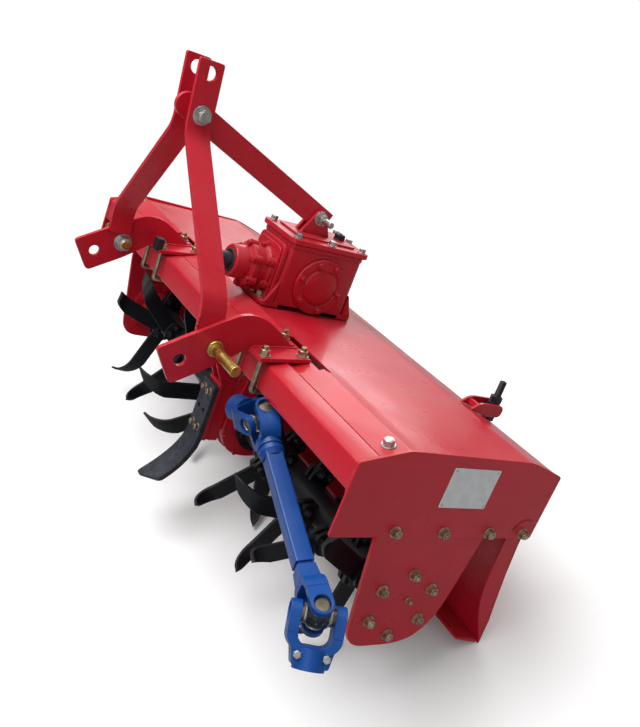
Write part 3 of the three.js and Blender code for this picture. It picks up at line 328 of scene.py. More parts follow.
def set_down(name, bm, finish, replaced=None, on="machine_frame", easing=1.2, sharpest=32, segments=2):
    """Sets a shape down in the frame as a finished piece that rides on a body."""
    material, slot = finish
    bm.transform(machine)
    mesh = bpy.data.meshes.new(name)
    bm.to_mesh(mesh)
    bm.free()
    mesh.materials.append(material)
    mesh.shade_smooth()
    piece = stand_in_scene(name, mesh)
    if easing:
        eased = piece.modifiers.new("eased_edges", "BEVEL")
        eased.width = easing / 1000
        eased.segments = segments
        eased.limit_method = "ANGLE"
        eased.angle_limit = radians(sharpest)
        eased.harden_normals = True
    else:
        mesh.set_sharp_from_angle(angle=radians(sharpest))
    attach(piece, on)
    if replaced:
        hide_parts(replaced)


red_enamel = enamel("red_enamel", "red_paint", (0.53, 0.010, 0.026), (0.46, 0.008, 0.020), (0.12, 0.02, 0.02),
                    0.55, 0.24)
beam = bmesh.new()
slab(beam, rounded([(0, BEAM_BOTTOM, 5), (BEAM_DEPTH, BEAM_BOTTOM, 5), (BEAM_DEPTH, BEAM_REAR_TOP, 3),
                    (LEDGE, 2.6, 0), (LEDGE, LEDGE * SLOPE, 2), (0, 0, 6)]), -frame_end, frame_end)
set_down("front_beam", beam, red_enamel, "main_beam", easing=1)

beam_welds = bmesh.new()
for z0, z1, y0, y1 in ((BEAM_BOTTOM, -2, -0.5, -0.5), (-55.5, -55.5, 2, 92), (1, 11, 2, 39)):
    weld(beam_welds, (frame_end - 1, y0, z0), (frame_end - 1, y1, z1), 2.6)
mirror_across(beam_welds)
set_down("beam_end_welds", beam_welds, red_enamel, easing=0, sharpest=80)


# ---- hood -----------------------------------------------------------------------------------------
# One sheet of 4 mm steel, folded on a brake along three lines. It is notched behind each hitch foot
# to let the clamps through, and its wide top is not quite flat.
SHEET = 3.7
HOOD_TOP = 23.4
HOOD_EDGE = 401         # where the flat top ends and the sheet starts to fall
HOOD_REAR = 486
NOTCH = (228, 388)
NOTCH_DEPTH = 113


def folded_line(points, radius, steps=6):
    """A polyline in (y, z) whose inner corners are folds of the given radius."""
    line = [Vector(points[0])]
    for before, here, after in zip(points, points[1:], points[2:]):
        here = Vector(here)
        first = here + (Vector(before) - here).normalized() * radius
        last = here + (Vector(after) - here).normalized() * radius
        line += curve(first, here, last, steps)
    return line + [Vector(points[-1])]


def folded_sheet(bm, line, stations):
    """An open sheet: the line, drawn across the machine through each station in turn."""
    verts = [bm.verts.new((stations[0], y, z)) for y, z in line]
    edges = [bm.edges.new(pair) for pair in zip(verts, verts[1:])]
    for before, after in zip(stations, stations[1:]):
        grown = bmesh.ops.extrude_edge_only(bm, edges=edges)["geom"]
        moved = verts_in(grown)
        edges = [part for part in grown if isinstance(part, bmesh.types.BMEdge)
                 and all(vert in moved for vert in part.verts)]
        bmesh.ops.translate(bm, vec=(after - before, 0, 0), verts=moved)


hood_line = folded_line([(LEDGE + 0.5, 7.2), (BEAM_DEPTH, HOOD_TOP), (HOOD_EDGE, HOOD_TOP), (HOOD_REAR, 0),
                         (HOOD_REAR, -99)], 9)
flat_part = [Vector((y, HOOD_TOP)) for y in range(NOTCH_DEPTH, 390, 23)]
hood_line = ([spot for spot in hood_line if spot.x < 108] + flat_part
             + [spot for spot in hood_line if spot.x > 390])
half_stations = [0, 45, 90, 135, 180, NOTCH[0], 268, 310, 350, NOTCH[1], 435, 480, 525, 570, 615, 655,
                 frame_end]
hood = bmesh.new()
folded_sheet(hood, hood_line, [-x for x in reversed(half_stations[1:])] + half_stations)
notched = [face for face in hood.faces
           if NOTCH[0] < abs(face.calc_center_median().x) < NOTCH[1]
           and face.calc_center_median().y < NOTCH_DEPTH]
bmesh.ops.delete(hood, geom=notched, context="FACES")
for face in hood.faces:
    face.normal_update()
if max(hood.faces, key=lambda face: face.calc_area()).normal.z < 0:
    bmesh.ops.reverse_faces(hood, faces=hood.faces[:])
for vert in hood.verts:
    if 110 < vert.co.y < 480 and abs(vert.co.x) < 680:
        vert.co.z -= 0.9 + 0.9 * noise.noise(Vector((vert.co.x / 170, vert.co.y / 120, 4)))
bmesh.ops.solidify(hood, geom=hood.faces[:], thickness=SHEET)
set_down("hood_sheet", hood, red_enamel, "hood", easing=0.8, sharpest=50)


# ---- clamping strips ------------------------------------------------------------------------------
# Three flat bars hold the hood's front edge to the beam, one between the hitch feet and one outside
# each. They have hexagon bolts of class 8.8, zinc plated, with plain washers, as all the machine has.
STRIP_THICKNESS = 4.2
STRIP_BOLT = (659, 70)


def metal(name, slot, bright, dull, rough, grain_scale, metallic=1.0, wear=0.35):
    """A bare or plated metal and its slot: bright where it is rubbed, dull in patches between."""
    material, tree, shader = blank_material(name)
    clouds = remap(tree, noise_field(tree, 55, 6), 0.36, 0.66)
    rub = mask(tree, edge_rub, Reach=0.0012, Amount=wear)
    colour = blend_colours(tree, clouds, (*dull, 1), (*bright, 1))
    colour = blend_colours(tree, rub, colour, (*[min(1, c * 1.35) for c in bright], 1))
    shine = remap(tree, noise_field(tree, 90, 4), 0.3, 0.7, rough, rough + 0.2)
    grain = noise_field(tree, grain_scale, 3)
    grit = add_node(tree, "Bump", {"Strength": 0.18, "Distance": 0.0005, "Height": grain})
    feed(tree, shader, {"Base Color": colour, "Roughness": shine, "Normal": grit.outputs["Normal"],
                        "Metallic": metallic})
    return material, slot


def rod(bm, start, end, radius, end_radius=None, sides=32, roll=0.0):
    start, end = Vector(start), Vector(end)
    along = end - start
    place = Matrix.Translation((start + end) / 2) @ along.to_track_quat("Z", "Y").to_matrix().to_4x4()
    return bmesh.ops.create_cone(
        bm, cap_ends=True, segments=sides, radius1=radius,
        radius2=radius if end_radius is None else end_radius,
        depth=along.length, matrix=place @ Matrix.Rotation(roll, 4, "Z"))["verts"]


def bolt(bm, spot, out, across=16, stud=0.0, washer=True, turn=0.3):
    """A bolt head, or with a stud length a nut on its stud, standing on a surface at spot."""
    spot, out = Vector(spot), Vector(out).normalized()
    base = spot
    if washer:
        base = spot + out * across * 0.12
        rod(bm, spot, base, across * 0.74, sides=24)
    top = base + out * across * (0.62 if stud else 0.55)
    rod(bm, base, top, across * 0.577, sides=6, roll=turn)
    rod(bm, top - out * 0.2, top + out * across * 0.05, across * 0.46, across * 0.4, sides=20)
    if stud:
        rod(bm, top, top + out * (stud - 1.5), across * 0.33, sides=16)
        rod(bm, top + out * (stud - 1.5), top + out * stud, across * 0.33, across * 0.24, sides=16)


silver_zinc = metal("silver_zinc", "zinc_plate", (0.62, 0.62, 0.60), (0.40, 0.40, 0.38), 0.3, 420)
for name, x0, x1 in (("clamp_strip_left", NOTCH[1], frame_end),
                     ("clamp_strip_right", -frame_end, -NOTCH[1]),
                     ("clamp_strip_centre", -NOTCH[0], NOTCH[0])):
    strip = bmesh.new()
    front, rear = LEDGE + 1, BEAM_DEPTH - 0.5
    slab(strip, [(front, front * SLOPE - STRIP_THICKNESS), (rear, rear * SLOPE - STRIP_THICKNESS),
                 (rear, rear * SLOPE), (front, front * SLOPE)], x0, x1)
    set_down(name + "_bar", strip, red_enamel, name, easing=0.9)

strip_bolts = bmesh.new()
for x in (STRIP_BOLT[0], -STRIP_BOLT[0]):
    bolt(strip_bolts, (x, STRIP_BOLT[1], STRIP_BOLT[1] * SLOPE), (0, -SLOPE, 1), 18, turn=x * 0.01)
set_down("strip_bolts", strip_bolts, silver_zinc, easing=0.7)


# ---- end plates -----------------------------------------------------------------------------------
# A 6 mm plate closes each end. It is welded to the beam and the hood, and bolted to the drop plate
# behind it and to the tailboard's pivot at its rear corner.
end_outline = rounded([(-3, -142, 5), (486, -142, 6), (489, 0, 5), (401, 26, 22), (95, 30.4, 8), (-3, 3, 4)])
PIVOT = (456, -129)
WELD_RADIUS = 30        # of the bead round the tailboard's pivot
SIDES = ((1, "left"), (-1, "right"))
dull_zinc = metal("dull_zinc", "zinc_plate", (0.56, 0.49, 0.36), (0.27, 0.22, 0.15), 0.3, 420)
inner_face = HALF_WIDTH - END_PLATE
for side, name in SIDES:
    plate = bmesh.new()
    slab(plate, end_outline, side * inner_face, side * HALF_WIDTH)
    set_down(f"end_sheet_{name}", plate, red_enamel, f"end_plate_{name}")

end_bolts = bmesh.new()
for y in (134, 248, 364, PIVOT[0]):
    bolt(end_bolts, (HALF_WIDTH, y, PIVOT[1]), (1, 0, 0), 16, stud=4, turn=y)
mirror_across(end_bolts)
set_down("end_plate_bolts", end_bolts, dull_zinc, easing=0.6)

end_welds = bmesh.new()
arc = on_circle(PIVOT, WELD_RADIUS, [radians(70 + 11 * k) for k in range(10)])
for before, after in zip(arc, arc[1:]):
    weld(end_welds, (HALF_WIDTH, *before), (HALF_WIDTH, *after), 2.4)
mirror_across(end_welds)
set_down("end_plate_welds", end_welds, red_enamel, easing=0, sharpest=80)


# ---- nameplate ------------------------------------------------------------------------------------
# A blank plate of thin aluminium with rounded corners. It lies on the left-hand end plate and is held
# there by four small drive screws.
NAME_FRONT, NAME_REAR, NAME_BOTTOM, NAME_TOP = 206, 320, -76, 6
SCREW_INSET = 6
plate_metal = metal("plate_metal", "bare_plate", (0.72, 0.73, 0.74), (0.64, 0.65, 0.66), 0.34, 300,
                    metallic=0.4, wear=0.2)
name_sheet = bmesh.new()
slab(name_sheet, rounded([(NAME_FRONT, NAME_BOTTOM, 3), (NAME_REAR, NAME_BOTTOM, 3), (NAME_REAR, NAME_TOP, 3),
                          (NAME_FRONT, NAME_TOP, 3)]), HALF_WIDTH + SEAT_GAP, HALF_WIDTH + 1.4)
set_down("blank_nameplate", name_sheet, plate_metal, "nameplate", easing=0.3)

screws = bmesh.new()
for y in (NAME_FRONT + SCREW_INSET, NAME_REAR - SCREW_INSET):
    for z in (NAME_BOTTOM + SCREW_INSET, NAME_TOP - SCREW_INSET):
        rod(screws, (HALF_WIDTH + 1.2, y, z), (HALF_WIDTH + 2.6, y, z), 2.6, 1.5, sides=16)
set_down("nameplate_screws", screws, dull_zinc, easing=0, sharpest=50)


# ---- drop plates and rotor bearings ---------------------------------------------------------------
# A 10 mm plate hangs behind each end plate and carries the rotor's bearing housing on six bolts,
# with a grease nipple over the shaft.
DROP_PLATE = 10
BOLT_CIRCLE = 69
HOUSING_DEPTH = 36.3
drop_outer = inner_face - SEAT_GAP
drop_inner = drop_outer - DROP_PLATE
bolt_spots = on_circle(rotor_axis.yz, BOLT_CIRCLE, [tau * k / 6 + pi / 2 for k in range(6)])
drop_outline = rounded([(105, -100, 0), (105, -150, 8), (142, -391, 46), (288, -391, 60), (334, -340, 34),
                        (347, -285, 30), (366, -150, 8), (366, -100, 0)], 7)
for side, name in SIDES:
    plate = bmesh.new()
    slab(plate, drop_outline, side * drop_inner, side * drop_outer)
    set_down(f"drop_sheet_{name}", plate, red_enamel, f"drop_plate_{name}", easing=1.6)
    housing = bmesh.new()
    for x0, x1, radius, far in ((9, SEAT_GAP, 84, 84), (26, 8, 50, 58), (HOUSING_DEPTH, 25, 46, 50)):
        rod(housing, (side * (drop_inner - x1), *rotor_axis.yz), (side * (drop_inner - x0), *rotor_axis.yz),
            far, radius, sides=40)
    for k, spot in enumerate(bolt_spots):
        bolt(housing, (side * (drop_inner - 9), *spot), (-side, 0, 0), 17, turn=k)
    set_down(f"bearing_casting_{name}", housing, red_enamel, f"bearing_housing_{name}")

bearing_bolts = bmesh.new()
for k, spot in enumerate(bolt_spots):
    bolt(bearing_bolts, (drop_outer, *spot), (1, 0, 0), 16, stud=5, turn=k * 2.1)
for start, end, near, far, sides in ((0, 3, 6.5, 6.5, 6), (3, 12, 3.6, 3, 16), (12, 15, 4.2, 2.4, 16)):
    rod(bearing_bolts, (drop_outer + start, 244, -284), (drop_outer + end, 244, -284), near, far, sides)
mirror_across(bearing_bolts)
set_down("bearing_bolts", bearing_bolts, dull_zinc, easing=0.6)


# ---- centre drive case ----------------------------------------------------------------------------
# A flat cast case hangs from the gearbox through the hood, with the last drive to the rotor inside.
# Its two halves meet in a bolted flange.
CASE_HALF = 32
case_corners = [(170, 19, 4), (170, -190, 30), (150, -262, 30), (149, -330, 40), (190, -379, 40),
                (274, -379, 40), (315, -330, 40), (314, -262, 30), (294, -190, 30), (294, 19, 4)]
case = bmesh.new()
slab(case, rounded(case_corners), -CASE_HALF, CASE_HALF)
case_flange = [(y + (4 if y > 232 else -4), z - (1 if z < -300 else 0), r) for y, z, r in case_corners]
slab(case, rounded([(y, min(z, 12), r) for y, z, r in case_flange]), -6, 6)
set_down("centre_casting", case, red_enamel, "centre_case", easing=4, segments=3)

case_bolts = bmesh.new()
for y, z in ((160, -250), (160, -330), (200, -370), (264, -370), (305, -330), (305, -250), (182, -150),
             (282, -150)):
    bolt(case_bolts, (CASE_HALF - 0.5, y, z), (1, 0, 0), 10, washer=False, turn=z)
mirror_across(case_bolts)
set_down("case_bolts", case_bolts, red_enamel, easing=0.5)


# ---- share and its bracket ------------------------------------------------------------------------
# A flat share of hot-rolled steel cuts the strip that the blades leave under the centre case. It is
# bolted to a welded bracket through two of its three pairs of holes.
SHARE_Y = 92
SHARE_PLATE = 12
SHARE_WIDTH = 62
SHARE_TOP, SHARE_BEND, SHARE_TIP, SHARE_REACH = -204, -330, -470, 82
BEND_AT = 0.45          # share of the bar's length that stays straight
OBLIQUE = 26            # how much lower one corner of the point is


def block(bm, low, high):
    low, high = Vector(low), Vector(high)
    place = Matrix.Translation((low + high) / 2) @ Matrix.Diagonal((*(high - low), 1))
    bmesh.ops.create_cube(bm, size=1, matrix=place)


def cut_across(bm, spots, way):
    """Cuts a bar across at each spot, so that it can be bent there."""
    for spot in spots:
        bmesh.ops.bisect_plane(bm, geom=bm.verts[:] + bm.edges[:] + bm.faces[:],
                               plane_co=Vector(way) * spot, plane_no=way)


rolled_steel = metal("rolled_steel", "dark_steel", (0.055, 0.06, 0.075), (0.03, 0.032, 0.042), 0.42, 160,
                     metallic=0.5)
bracket_front = SHARE_Y + SHARE_PLATE + SEAT_GAP
bracket = bmesh.new()
block(bracket, (-31, bracket_front, -345), (31, bracket_front + 10, -196))
cheek = [(25, -56.3), (BEAM_DEPTH, -56.3), (147, -130), (147, -345), (bracket_front + 5, -345),
         (bracket_front + 5, -200)]
for side in (1, -1):
    slab(bracket, cheek, side * 18, side * 26)
set_down("share_hanger", bracket, red_enamel, "share_bracket")

share_holes = [(side * 14, z) for z in (-224, -274, -318) for side in (1, -1)]


def share_place(side, along, through):
    """Where a point of the flat bar goes once its lower half is curled forward to an oblique point."""
    straight = min(along / BEND_AT, 1)
    curl = max((along - BEND_AT) / (1 - BEND_AT), 0)
    oblique = OBLIQUE * curl * curl * (side / SHARE_WIDTH)
    z = SHARE_TOP + (SHARE_BEND - SHARE_TOP) * straight + (SHARE_TIP - SHARE_BEND + oblique) * curl
    lean = atan2(2 * SHARE_REACH * curl, SHARE_BEND - SHARE_TIP)
    y = SHARE_Y + SHARE_PLATE / 2 - SHARE_REACH * curl * curl + oblique * curl
    return Vector((side * (1 + 0.12 * curl), y + through * cos(lean), z - through * sin(lean)))


share = bmesh.new()
scale = SHARE_TOP - SHARE_TIP
half = SHARE_WIDTH / 2
slab(share, rounded([(-half, 0, 4), (half, 0, 4), (half, scale, 10), (-half, scale, 10)]),
     -SHARE_PLATE / 2, SHARE_PLATE / 2,
     holes=[(x, (SHARE_TOP - z) / (SHARE_TOP - SHARE_BEND) * BEND_AT * scale, 5.5) for x, z in share_holes])
cut_across(share, [scale * k / 22 for k in range(1, 22)], (0, 0, 1))
for vert in share.verts:
    vert.co = share_place(vert.co.y, vert.co.z / scale, vert.co.x)
bmesh.ops.recalc_face_normals(share, faces=share.faces[:])
set_down("share_blade", share, rolled_steel, "share", easing=1.0, sharpest=45)

share_bolts = bmesh.new()
for x, z in share_holes:
    if z != -274:
        bolt(share_bolts, (x, SHARE_Y, z), (0, -1, 0), 13, turn=x)
set_down("share_bolts", share_bolts, dull_zinc, easing=0.5)


# ---- rotor ----------------------------------------------------------------------------------------
# Each half is a drawn tube with a flange welded on its inner end. Sixteen forged blades a half are
# bolted to holders welded round it, set so that one tip at a time enters the soil.
BLADE_RADIUS = 225
BLADE_WIDTH, BLADE_THICKNESS, BLADE_SWEEP = 50, 8, 72
BLADE_ROOT, SHANK, CURL, CURL_ANGLE, TIP = 44, 112, 42, 1.3, 14
BLADE_LENGTH = SHANK + CURL * CURL_ANGLE + TIP
BLADE_PLANES, BLADE_PITCH, FIRST_BLADE = 8, 75, 87
TUBE, STUB = 36, 22
LEFT_ORDER, RIGHT_ORDER = (7, 4, 0, 5, 2, 3, 6, 1), (4, 3, 7, 0, 5, 1, 2, 6)
black_enamel = enamel("black_enamel", "black_paint", (0.008, 0.009, 0.014), (0.005, 0.006, 0.009),
                      (0.08, 0.07, 0.07), 0.5, 0.36, peel=0.2, coat=0.15, dust=0.1)
bearing_inner = drop_inner - HOUSING_DEPTH


def blade_place(through, run, wide):
    """Where a point of the flat blade goes once its end is curled sideways and swept back."""
    bend = min(max((run - SHANK) / CURL, 0), CURL_ANGLE)
    rest = max(run - SHANK - CURL * CURL_ANGLE, 0)
    sweep = (run / BLADE_LENGTH) ** 2
    tip_cut = -0.35 * max(run - SHANK, 0) * wide / BLADE_WIDTH
    out = BLADE_ROOT + min(run, SHANK) + CURL * sin(bend) + rest * cos(bend)
    over = CURL * (1 - cos(bend)) + rest * sin(bend)
    return Vector((through * cos(bend) + over + tip_cut * sin(bend),
                   out - through * sin(bend) + tip_cut * cos(bend),
                   wide * (1 - 0.25 * sweep) - BLADE_SWEEP * sweep))


forged = bmesh.new()
half_wide = BLADE_WIDTH / 2
slab(forged, rounded([(4, -half_wide + 3, 5), (BLADE_LENGTH - 30, -half_wide, 14),
                      (BLADE_LENGTH, -half_wide + 22, 4), (BLADE_LENGTH, half_wide - 5, 4),
                      (BLADE_LENGTH - 7, half_wide, 4), (4, half_wide - 3, 5)], 3),
     -BLADE_THICKNESS / 2, BLADE_THICKNESS / 2)
bmesh.ops.bevel(forged, geom=[edge for edge in forged.edges if edge.calc_face_angle(0) > 1], offset=1.2,
                offset_type="OFFSET", segments=1, profile=0.5, affect="EDGES", material=-1)
cut_across(forged, [SHANK - 6 + k * (BLADE_LENGTH - SHANK) / 17 for k in range(1, 17)], (0, 1, 0))
for vert in forged.verts:
    through, run, wide = vert.co
    ground = 1 - 0.5 * max(0.0, (run - SHANK * 0.8) / BLADE_LENGTH)
    vert.co = blade_place(through * ground, run, wide)
tip = max(forged.verts, key=lambda vert: vert.co.y ** 2 + vert.co.z ** 2).co
tip_angle = atan2(tip.z, tip.y)
stretch = BLADE_RADIUS / tip.yz.length
bmesh.ops.scale(forged, vec=(1, stretch, stretch), verts=forged.verts)
for x0, x1 in ((-13, -4.4), (4.4, 13)):
    slab(forged, rounded([(TUBE - 6, -27, 0), (TUBE + 22, -27, 8), (TUBE + 32, -14, 8),
                          (TUBE + 32, 14, 8), (TUBE + 22, 27, 8), (TUBE - 6, 27, 0)], 2), x0, x1)
for z in (12, -12):
    bolt(forged, (13, TUBE + 17, z), (1, 0, 0), 15, turn=z)
    bolt(forged, (-13, TUBE + 17, z), (-1, 0, 0), 15, stud=5, turn=z)
forged_mesh = bpy.data.meshes.new("blade_pattern")
forged.to_mesh(forged_mesh)
forged.free()

straight_down = lean_back - pi / 2
tip_step = pi / BLADE_PLANES
for side, name, order in ((1, "left", LEFT_ORDER), (-1, "right", RIGHT_ORDER)):
    half = bmesh.new()
    inner, outer = CASE_HALF + 8, bearing_inner - 8
    for x0, x1, radius in ((inner, outer, TUBE), (inner, inner + 14, TUBE + 18),
                           (outer - 12, outer, TUBE + 10), (inner - 28, inner + 2, STUB),
                           (outer - 2, bearing_inner + 19.5, STUB)):
        rod(half, (side * x0, 0, 0), (side * x1, 0, 0), radius, sides=40)
    for spot in on_circle((0, 0), 45, [tau * k / 6 + 0.3 for k in range(6)]):
        bolt(half, (side * (inner + 14), *spot), (side, 0, 0), 10, washer=False)
    for plane in range(BLADE_PLANES):
        x = side * (FIRST_BLADE + plane * BLADE_PITCH)
        for again in (0, 1):
            outward = plane == 0 or again == plane % 2
            turn = straight_down + side * tip_step / 4 + order[plane] * tip_step + again * pi - tip_angle
            place = Matrix.Translation((x, 0, 0)) @ Matrix.Rotation(turn, 4, "X")
            before = set(half.verts)
            half.from_mesh(forged_mesh)
            fresh = [vert for vert in half.verts if vert not in before]
            if outward != (side > 0):
                bmesh.ops.scale(half, vec=(-1, 1, 1), verts=fresh)
                bmesh.ops.reverse_faces(half, faces=faces_round(fresh))
            bmesh.ops.transform(half, matrix=place, verts=fresh)
    bmesh.ops.translate(half, vec=rotor_axis, verts=half.verts)
    set_down(f"bladed_rotor_{name}", half, black_enamel, f"rotor_{name}", on="rotor", easing=0,
             sharpest=28)
bpy.data.meshes.remove(forged_mesh)


# ---- gearbox --------------------------------------------------------------------------------------
# A cast iron box on a wide foot flange, with a cast lid that overhangs it. Its corners are rounded
# as moulded, and its skin is a little rough under the enamel.
GEARBOX_FRONT, GEARBOX_REAR, GEARBOX_TOP = 134, 328, 189
GEARBOX_HALF = 70
FOOT_THICKNESS = LID_THICKNESS = 12
brace_at = Vector((0, 214, 232))
gearbox_foot = HOOD_TOP + SEAT_GAP
lid_under = GEARBOX_TOP - LID_THICKNESS
lying = Matrix(((0, 1, 0, 0), (0, 0, 1, 0), (1, 0, 0, 0), (0, 0, 0, 1)))
crossways = Matrix(((0, 1, 0, 0), (1, 0, 0, 0), (0, 0, 1, 0), (0, 0, 0, 1)))
cast_red = enamel("cast_red_enamel", "red_paint", (0.50, 0.009, 0.024), (0.38, 0.006, 0.016),
                  (0.09, 0.02, 0.02), 0.5, 0.30, peel=0.45, dust=0.14)
black_plastic = enamel("black_plastic", "black_paint", (0.020, 0.020, 0.022), (0.014, 0.014, 0.016),
                       (0.05, 0.05, 0.05), 0.3, 0.42, peel=0.3, coat=0.0, dust=0.3)


def lying_plate(bm, half, front, rear, corner, z0, z1):
    """A level plate from -half to half across the machine, with rounded corners."""
    outline = rounded([(-half, front, corner), (half, front, corner), (half, rear, corner),
                       (-half, rear, corner)])
    bmesh.ops.transform(bm, matrix=lying, verts=slab(bm, outline, z0, z1))


def upright_plate(bm, outline, y0, y1):
    """A plate that faces forward: an outline in (x, z), y0 to y1 thick."""
    verts = slab(bm, outline, y0, y1)
    bmesh.ops.transform(bm, matrix=crossways, verts=verts)
    bmesh.ops.recalc_face_normals(bm, faces=faces_round(verts))


def turned(bm, start, way, profile, sides=44, closed=False):
    """A turned shape: a profile of (radius, along) spun about a line."""
    start, way = Vector(start), Vector(way).normalized()
    side = way.orthogonal().normalized()
    before = set(bm.verts)
    line = [bm.verts.new(start + way * along + side * radius) for radius, along in profile]
    pairs = list(zip(line, line[1:])) + ([(line[-1], line[0])] if closed else [])
    edges = [bm.edges.new(pair) for pair in pairs]
    bmesh.ops.spin(bm, geom=line + edges, cent=start, axis=way, angle=tau, steps=sides, use_merge=True)
    bmesh.ops.remove_doubles(bm, verts=[vert for vert in bm.verts if vert not in before], dist=0.001)
    fresh = [vert for vert in bm.verts if vert not in before]
    bmesh.ops.recalc_face_normals(bm, faces=faces_round(fresh))


box = bmesh.new()
foot_top = gearbox_foot + FOOT_THICKNESS
body_top = lid_under - SEAT_GAP
lying_plate(box, GEARBOX_HALF, GEARBOX_FRONT, GEARBOX_REAR, 16, gearbox_foot, body_top)
lying_plate(box, GEARBOX_HALF, GEARBOX_FRONT - 28, GEARBOX_REAR + 28, 18, gearbox_foot, foot_top)
lying_plate(box, GEARBOX_HALF + 2, GEARBOX_FRONT - 2, GEARBOX_REAR + 2, 18, lid_under - 12, body_top)
for y0, y1, half, top in ((124, 135, 62, 166), (119, 125, 55, 158)):
    upright_plate(box, rounded([(-half, 30, 6), (half, 30, 6), (half, top, 20), (-half, top, 20)]), y0, y1)
for x in (-66, 66):
    for y0, y1 in ((112, GEARBOX_FRONT + 2), (350, GEARBOX_REAR - 2)):
        slab(box, [(y0, gearbox_foot + 10), (y1, gearbox_foot + 10), (y1, gearbox_foot + 62)], x - 5, x + 5)
set_down("gearbox_casting", box, cast_red, "gearbox_housing", easing=2.6, segments=3)

foot_bolts = bmesh.new()
for y in (119, 343):
    for x in (-36, 0, 36):
        bolt(foot_bolts, (x, y, foot_top), (0, 0, 1), 19, turn=x + y)
set_down("gearbox_foot_bolts", foot_bolts, dull_zinc, easing=0.7)

lid = bmesh.new()
lying_plate(lid, GEARBOX_HALF + 8, GEARBOX_FRONT - 8, GEARBOX_REAR + 8, 18, lid_under, GEARBOX_TOP)
lying_plate(lid, GEARBOX_HALF - 18, GEARBOX_FRONT + 18, GEARBOX_REAR - 18, 14,
            GEARBOX_TOP - 1, GEARBOX_TOP + 5)
ear = rounded([(brace_at.y - 40, GEARBOX_TOP + 2, 0), (brace_at.y - 18, brace_at.z + 2, 14),
               (brace_at.y - 8, brace_at.z + 18, 12), (brace_at.y + 12, brace_at.z + 18, 12),
               (brace_at.y + 20, brace_at.z, 14), (brace_at.y + 40, GEARBOX_TOP + 2, 0)], 4)
for side in (1, -1):
    slab(lid, ear, side * 6.3, side * 15.5)
set_down("gearbox_cover_casting", lid, cast_red, "gearbox_lid", easing=2.2, segments=3)

lid_bolts = bmesh.new()
for x, y in ((62, 146), (62, 236), (62, 320), (-62, 146), (-62, 236), (-62, 320), (0, 320)):
    bolt(lid_bolts, (x, y, GEARBOX_TOP), (0, 0, 1), 15, turn=x + y)
set_down("gearbox_cover_bolts", lid_bolts, silver_zinc, easing=0.8)

plug = bmesh.new()
turned(plug, (4, 288, GEARBOX_TOP + 4), (0, 0, 1),
       [(0, 0), (13, 0), (13, 3), (11, 4), (11, 12), (9.5, 14), (4, 14), (3.4, 16), (0, 16)])
for spot in on_circle((4, 288), 11, [tau * k / 12 for k in range(12)]):
    rod(plug, (*spot, GEARBOX_TOP + 8), (*spot, GEARBOX_TOP + 16.5), 1.7, sides=8)
set_down("oil_filler_plug", plug, black_plastic, easing=0.4)


# ---- gearbox side covers --------------------------------------------------------------------------
# A round cover, pressed from sheet steel, closes each side of the gearbox: a flat rim under six
# bolts, a groove and a low dome. It is painted with the gearbox.
COVER_AT = (236, 92)
BOSS_CIRCLE = 55
BOSSES = (64, 112, 165, 220, 285, 350)      # degrees round the cover, from the rear
cover_pad = rounded([(COVER_AT[0] + y, COVER_AT[1] + z, 6)
                     for y, z in ((-20, 40), (24, 40), (24, 58), (-20, 58))])
for side, name in SIDES:
    cover = bmesh.new()
    face = GEARBOX_HALF + SEAT_GAP
    turned(cover, (side * face, *COVER_AT), (side, 0, 0),
           [(0, 0), (64, 0), (66, 1.5), (66, 5), (64, 7), (48, 7), (46, 5.4), (43, 5.4), (41, 7.4), (36, 10),
            (28, 11), (12, 11.2), (0, 11.2)], sides=64)
    for degrees, spot in zip(BOSSES, on_circle(COVER_AT, BOSS_CIRCLE, [radians(boss) for boss in BOSSES])):
        rod(cover, (side * (face + 5), *spot), (side * (face + 9), *spot), 9.5, 9, sides=24)
        bolt(cover, (side * (face + 9), *spot), (side, 0, 0), 12, washer=False, turn=degrees)
    slab(cover, cover_pad, side * (face + 5), side * (face + 9.4))
    set_down(f"pressed_cover_{name}", cover, cast_red, f"side_cover_{name}", easing=0.8)


# ---- input bearing housing and shaft --------------------------------------------------------------
# A cast neck carries the input shaft forward over the beam. Its rear flange and its cap are lobed
# for their bolts, and the splined shaft turns in a rubber seal.
INPUT_Z = 92
neck = bmesh.new()
turned(neck, (0, 133.7, INPUT_Z), (0, -1, 0),
       [(17.9, 0), (52, 0), (54, 14), (54, 22), (50, 25), (46, 27), (46, 44), (50, 47), (50, 58), (44, 61),
        (38, 63), (37, 93), (34, 97.6), (21.5, 97.6), (17.9, 97.6)], sides=56, closed=True)
for radius, y0, y1, lobe in ((50, 133, 109, 11), (47, 90, 74, 10)):
    sixths = [tau * k / 6 + radians(30) for k in range(6)]
    for k, (x, z) in enumerate(on_circle((0, INPUT_Z), radius, sixths)):
        rod(neck, (x, y0, z), (x, y1, z), lobe, sides=24)
        bolt(neck, (x, y1, z), (0, -1, 0), 13, washer=False, turn=k)
set_down("input_neck_casting", neck, cast_red, "input_housing", easing=1.4)

seal = bmesh.new()
turned(seal, (0, 36, INPUT_Z), (0, -1, 0), [(18, 0), (26, 0), (26, 1.6), (24, 2.6), (20, 2.2), (18, 1)],
       sides=48, closed=True)
set_down("input_seal", seal, black_plastic, easing=0.3)

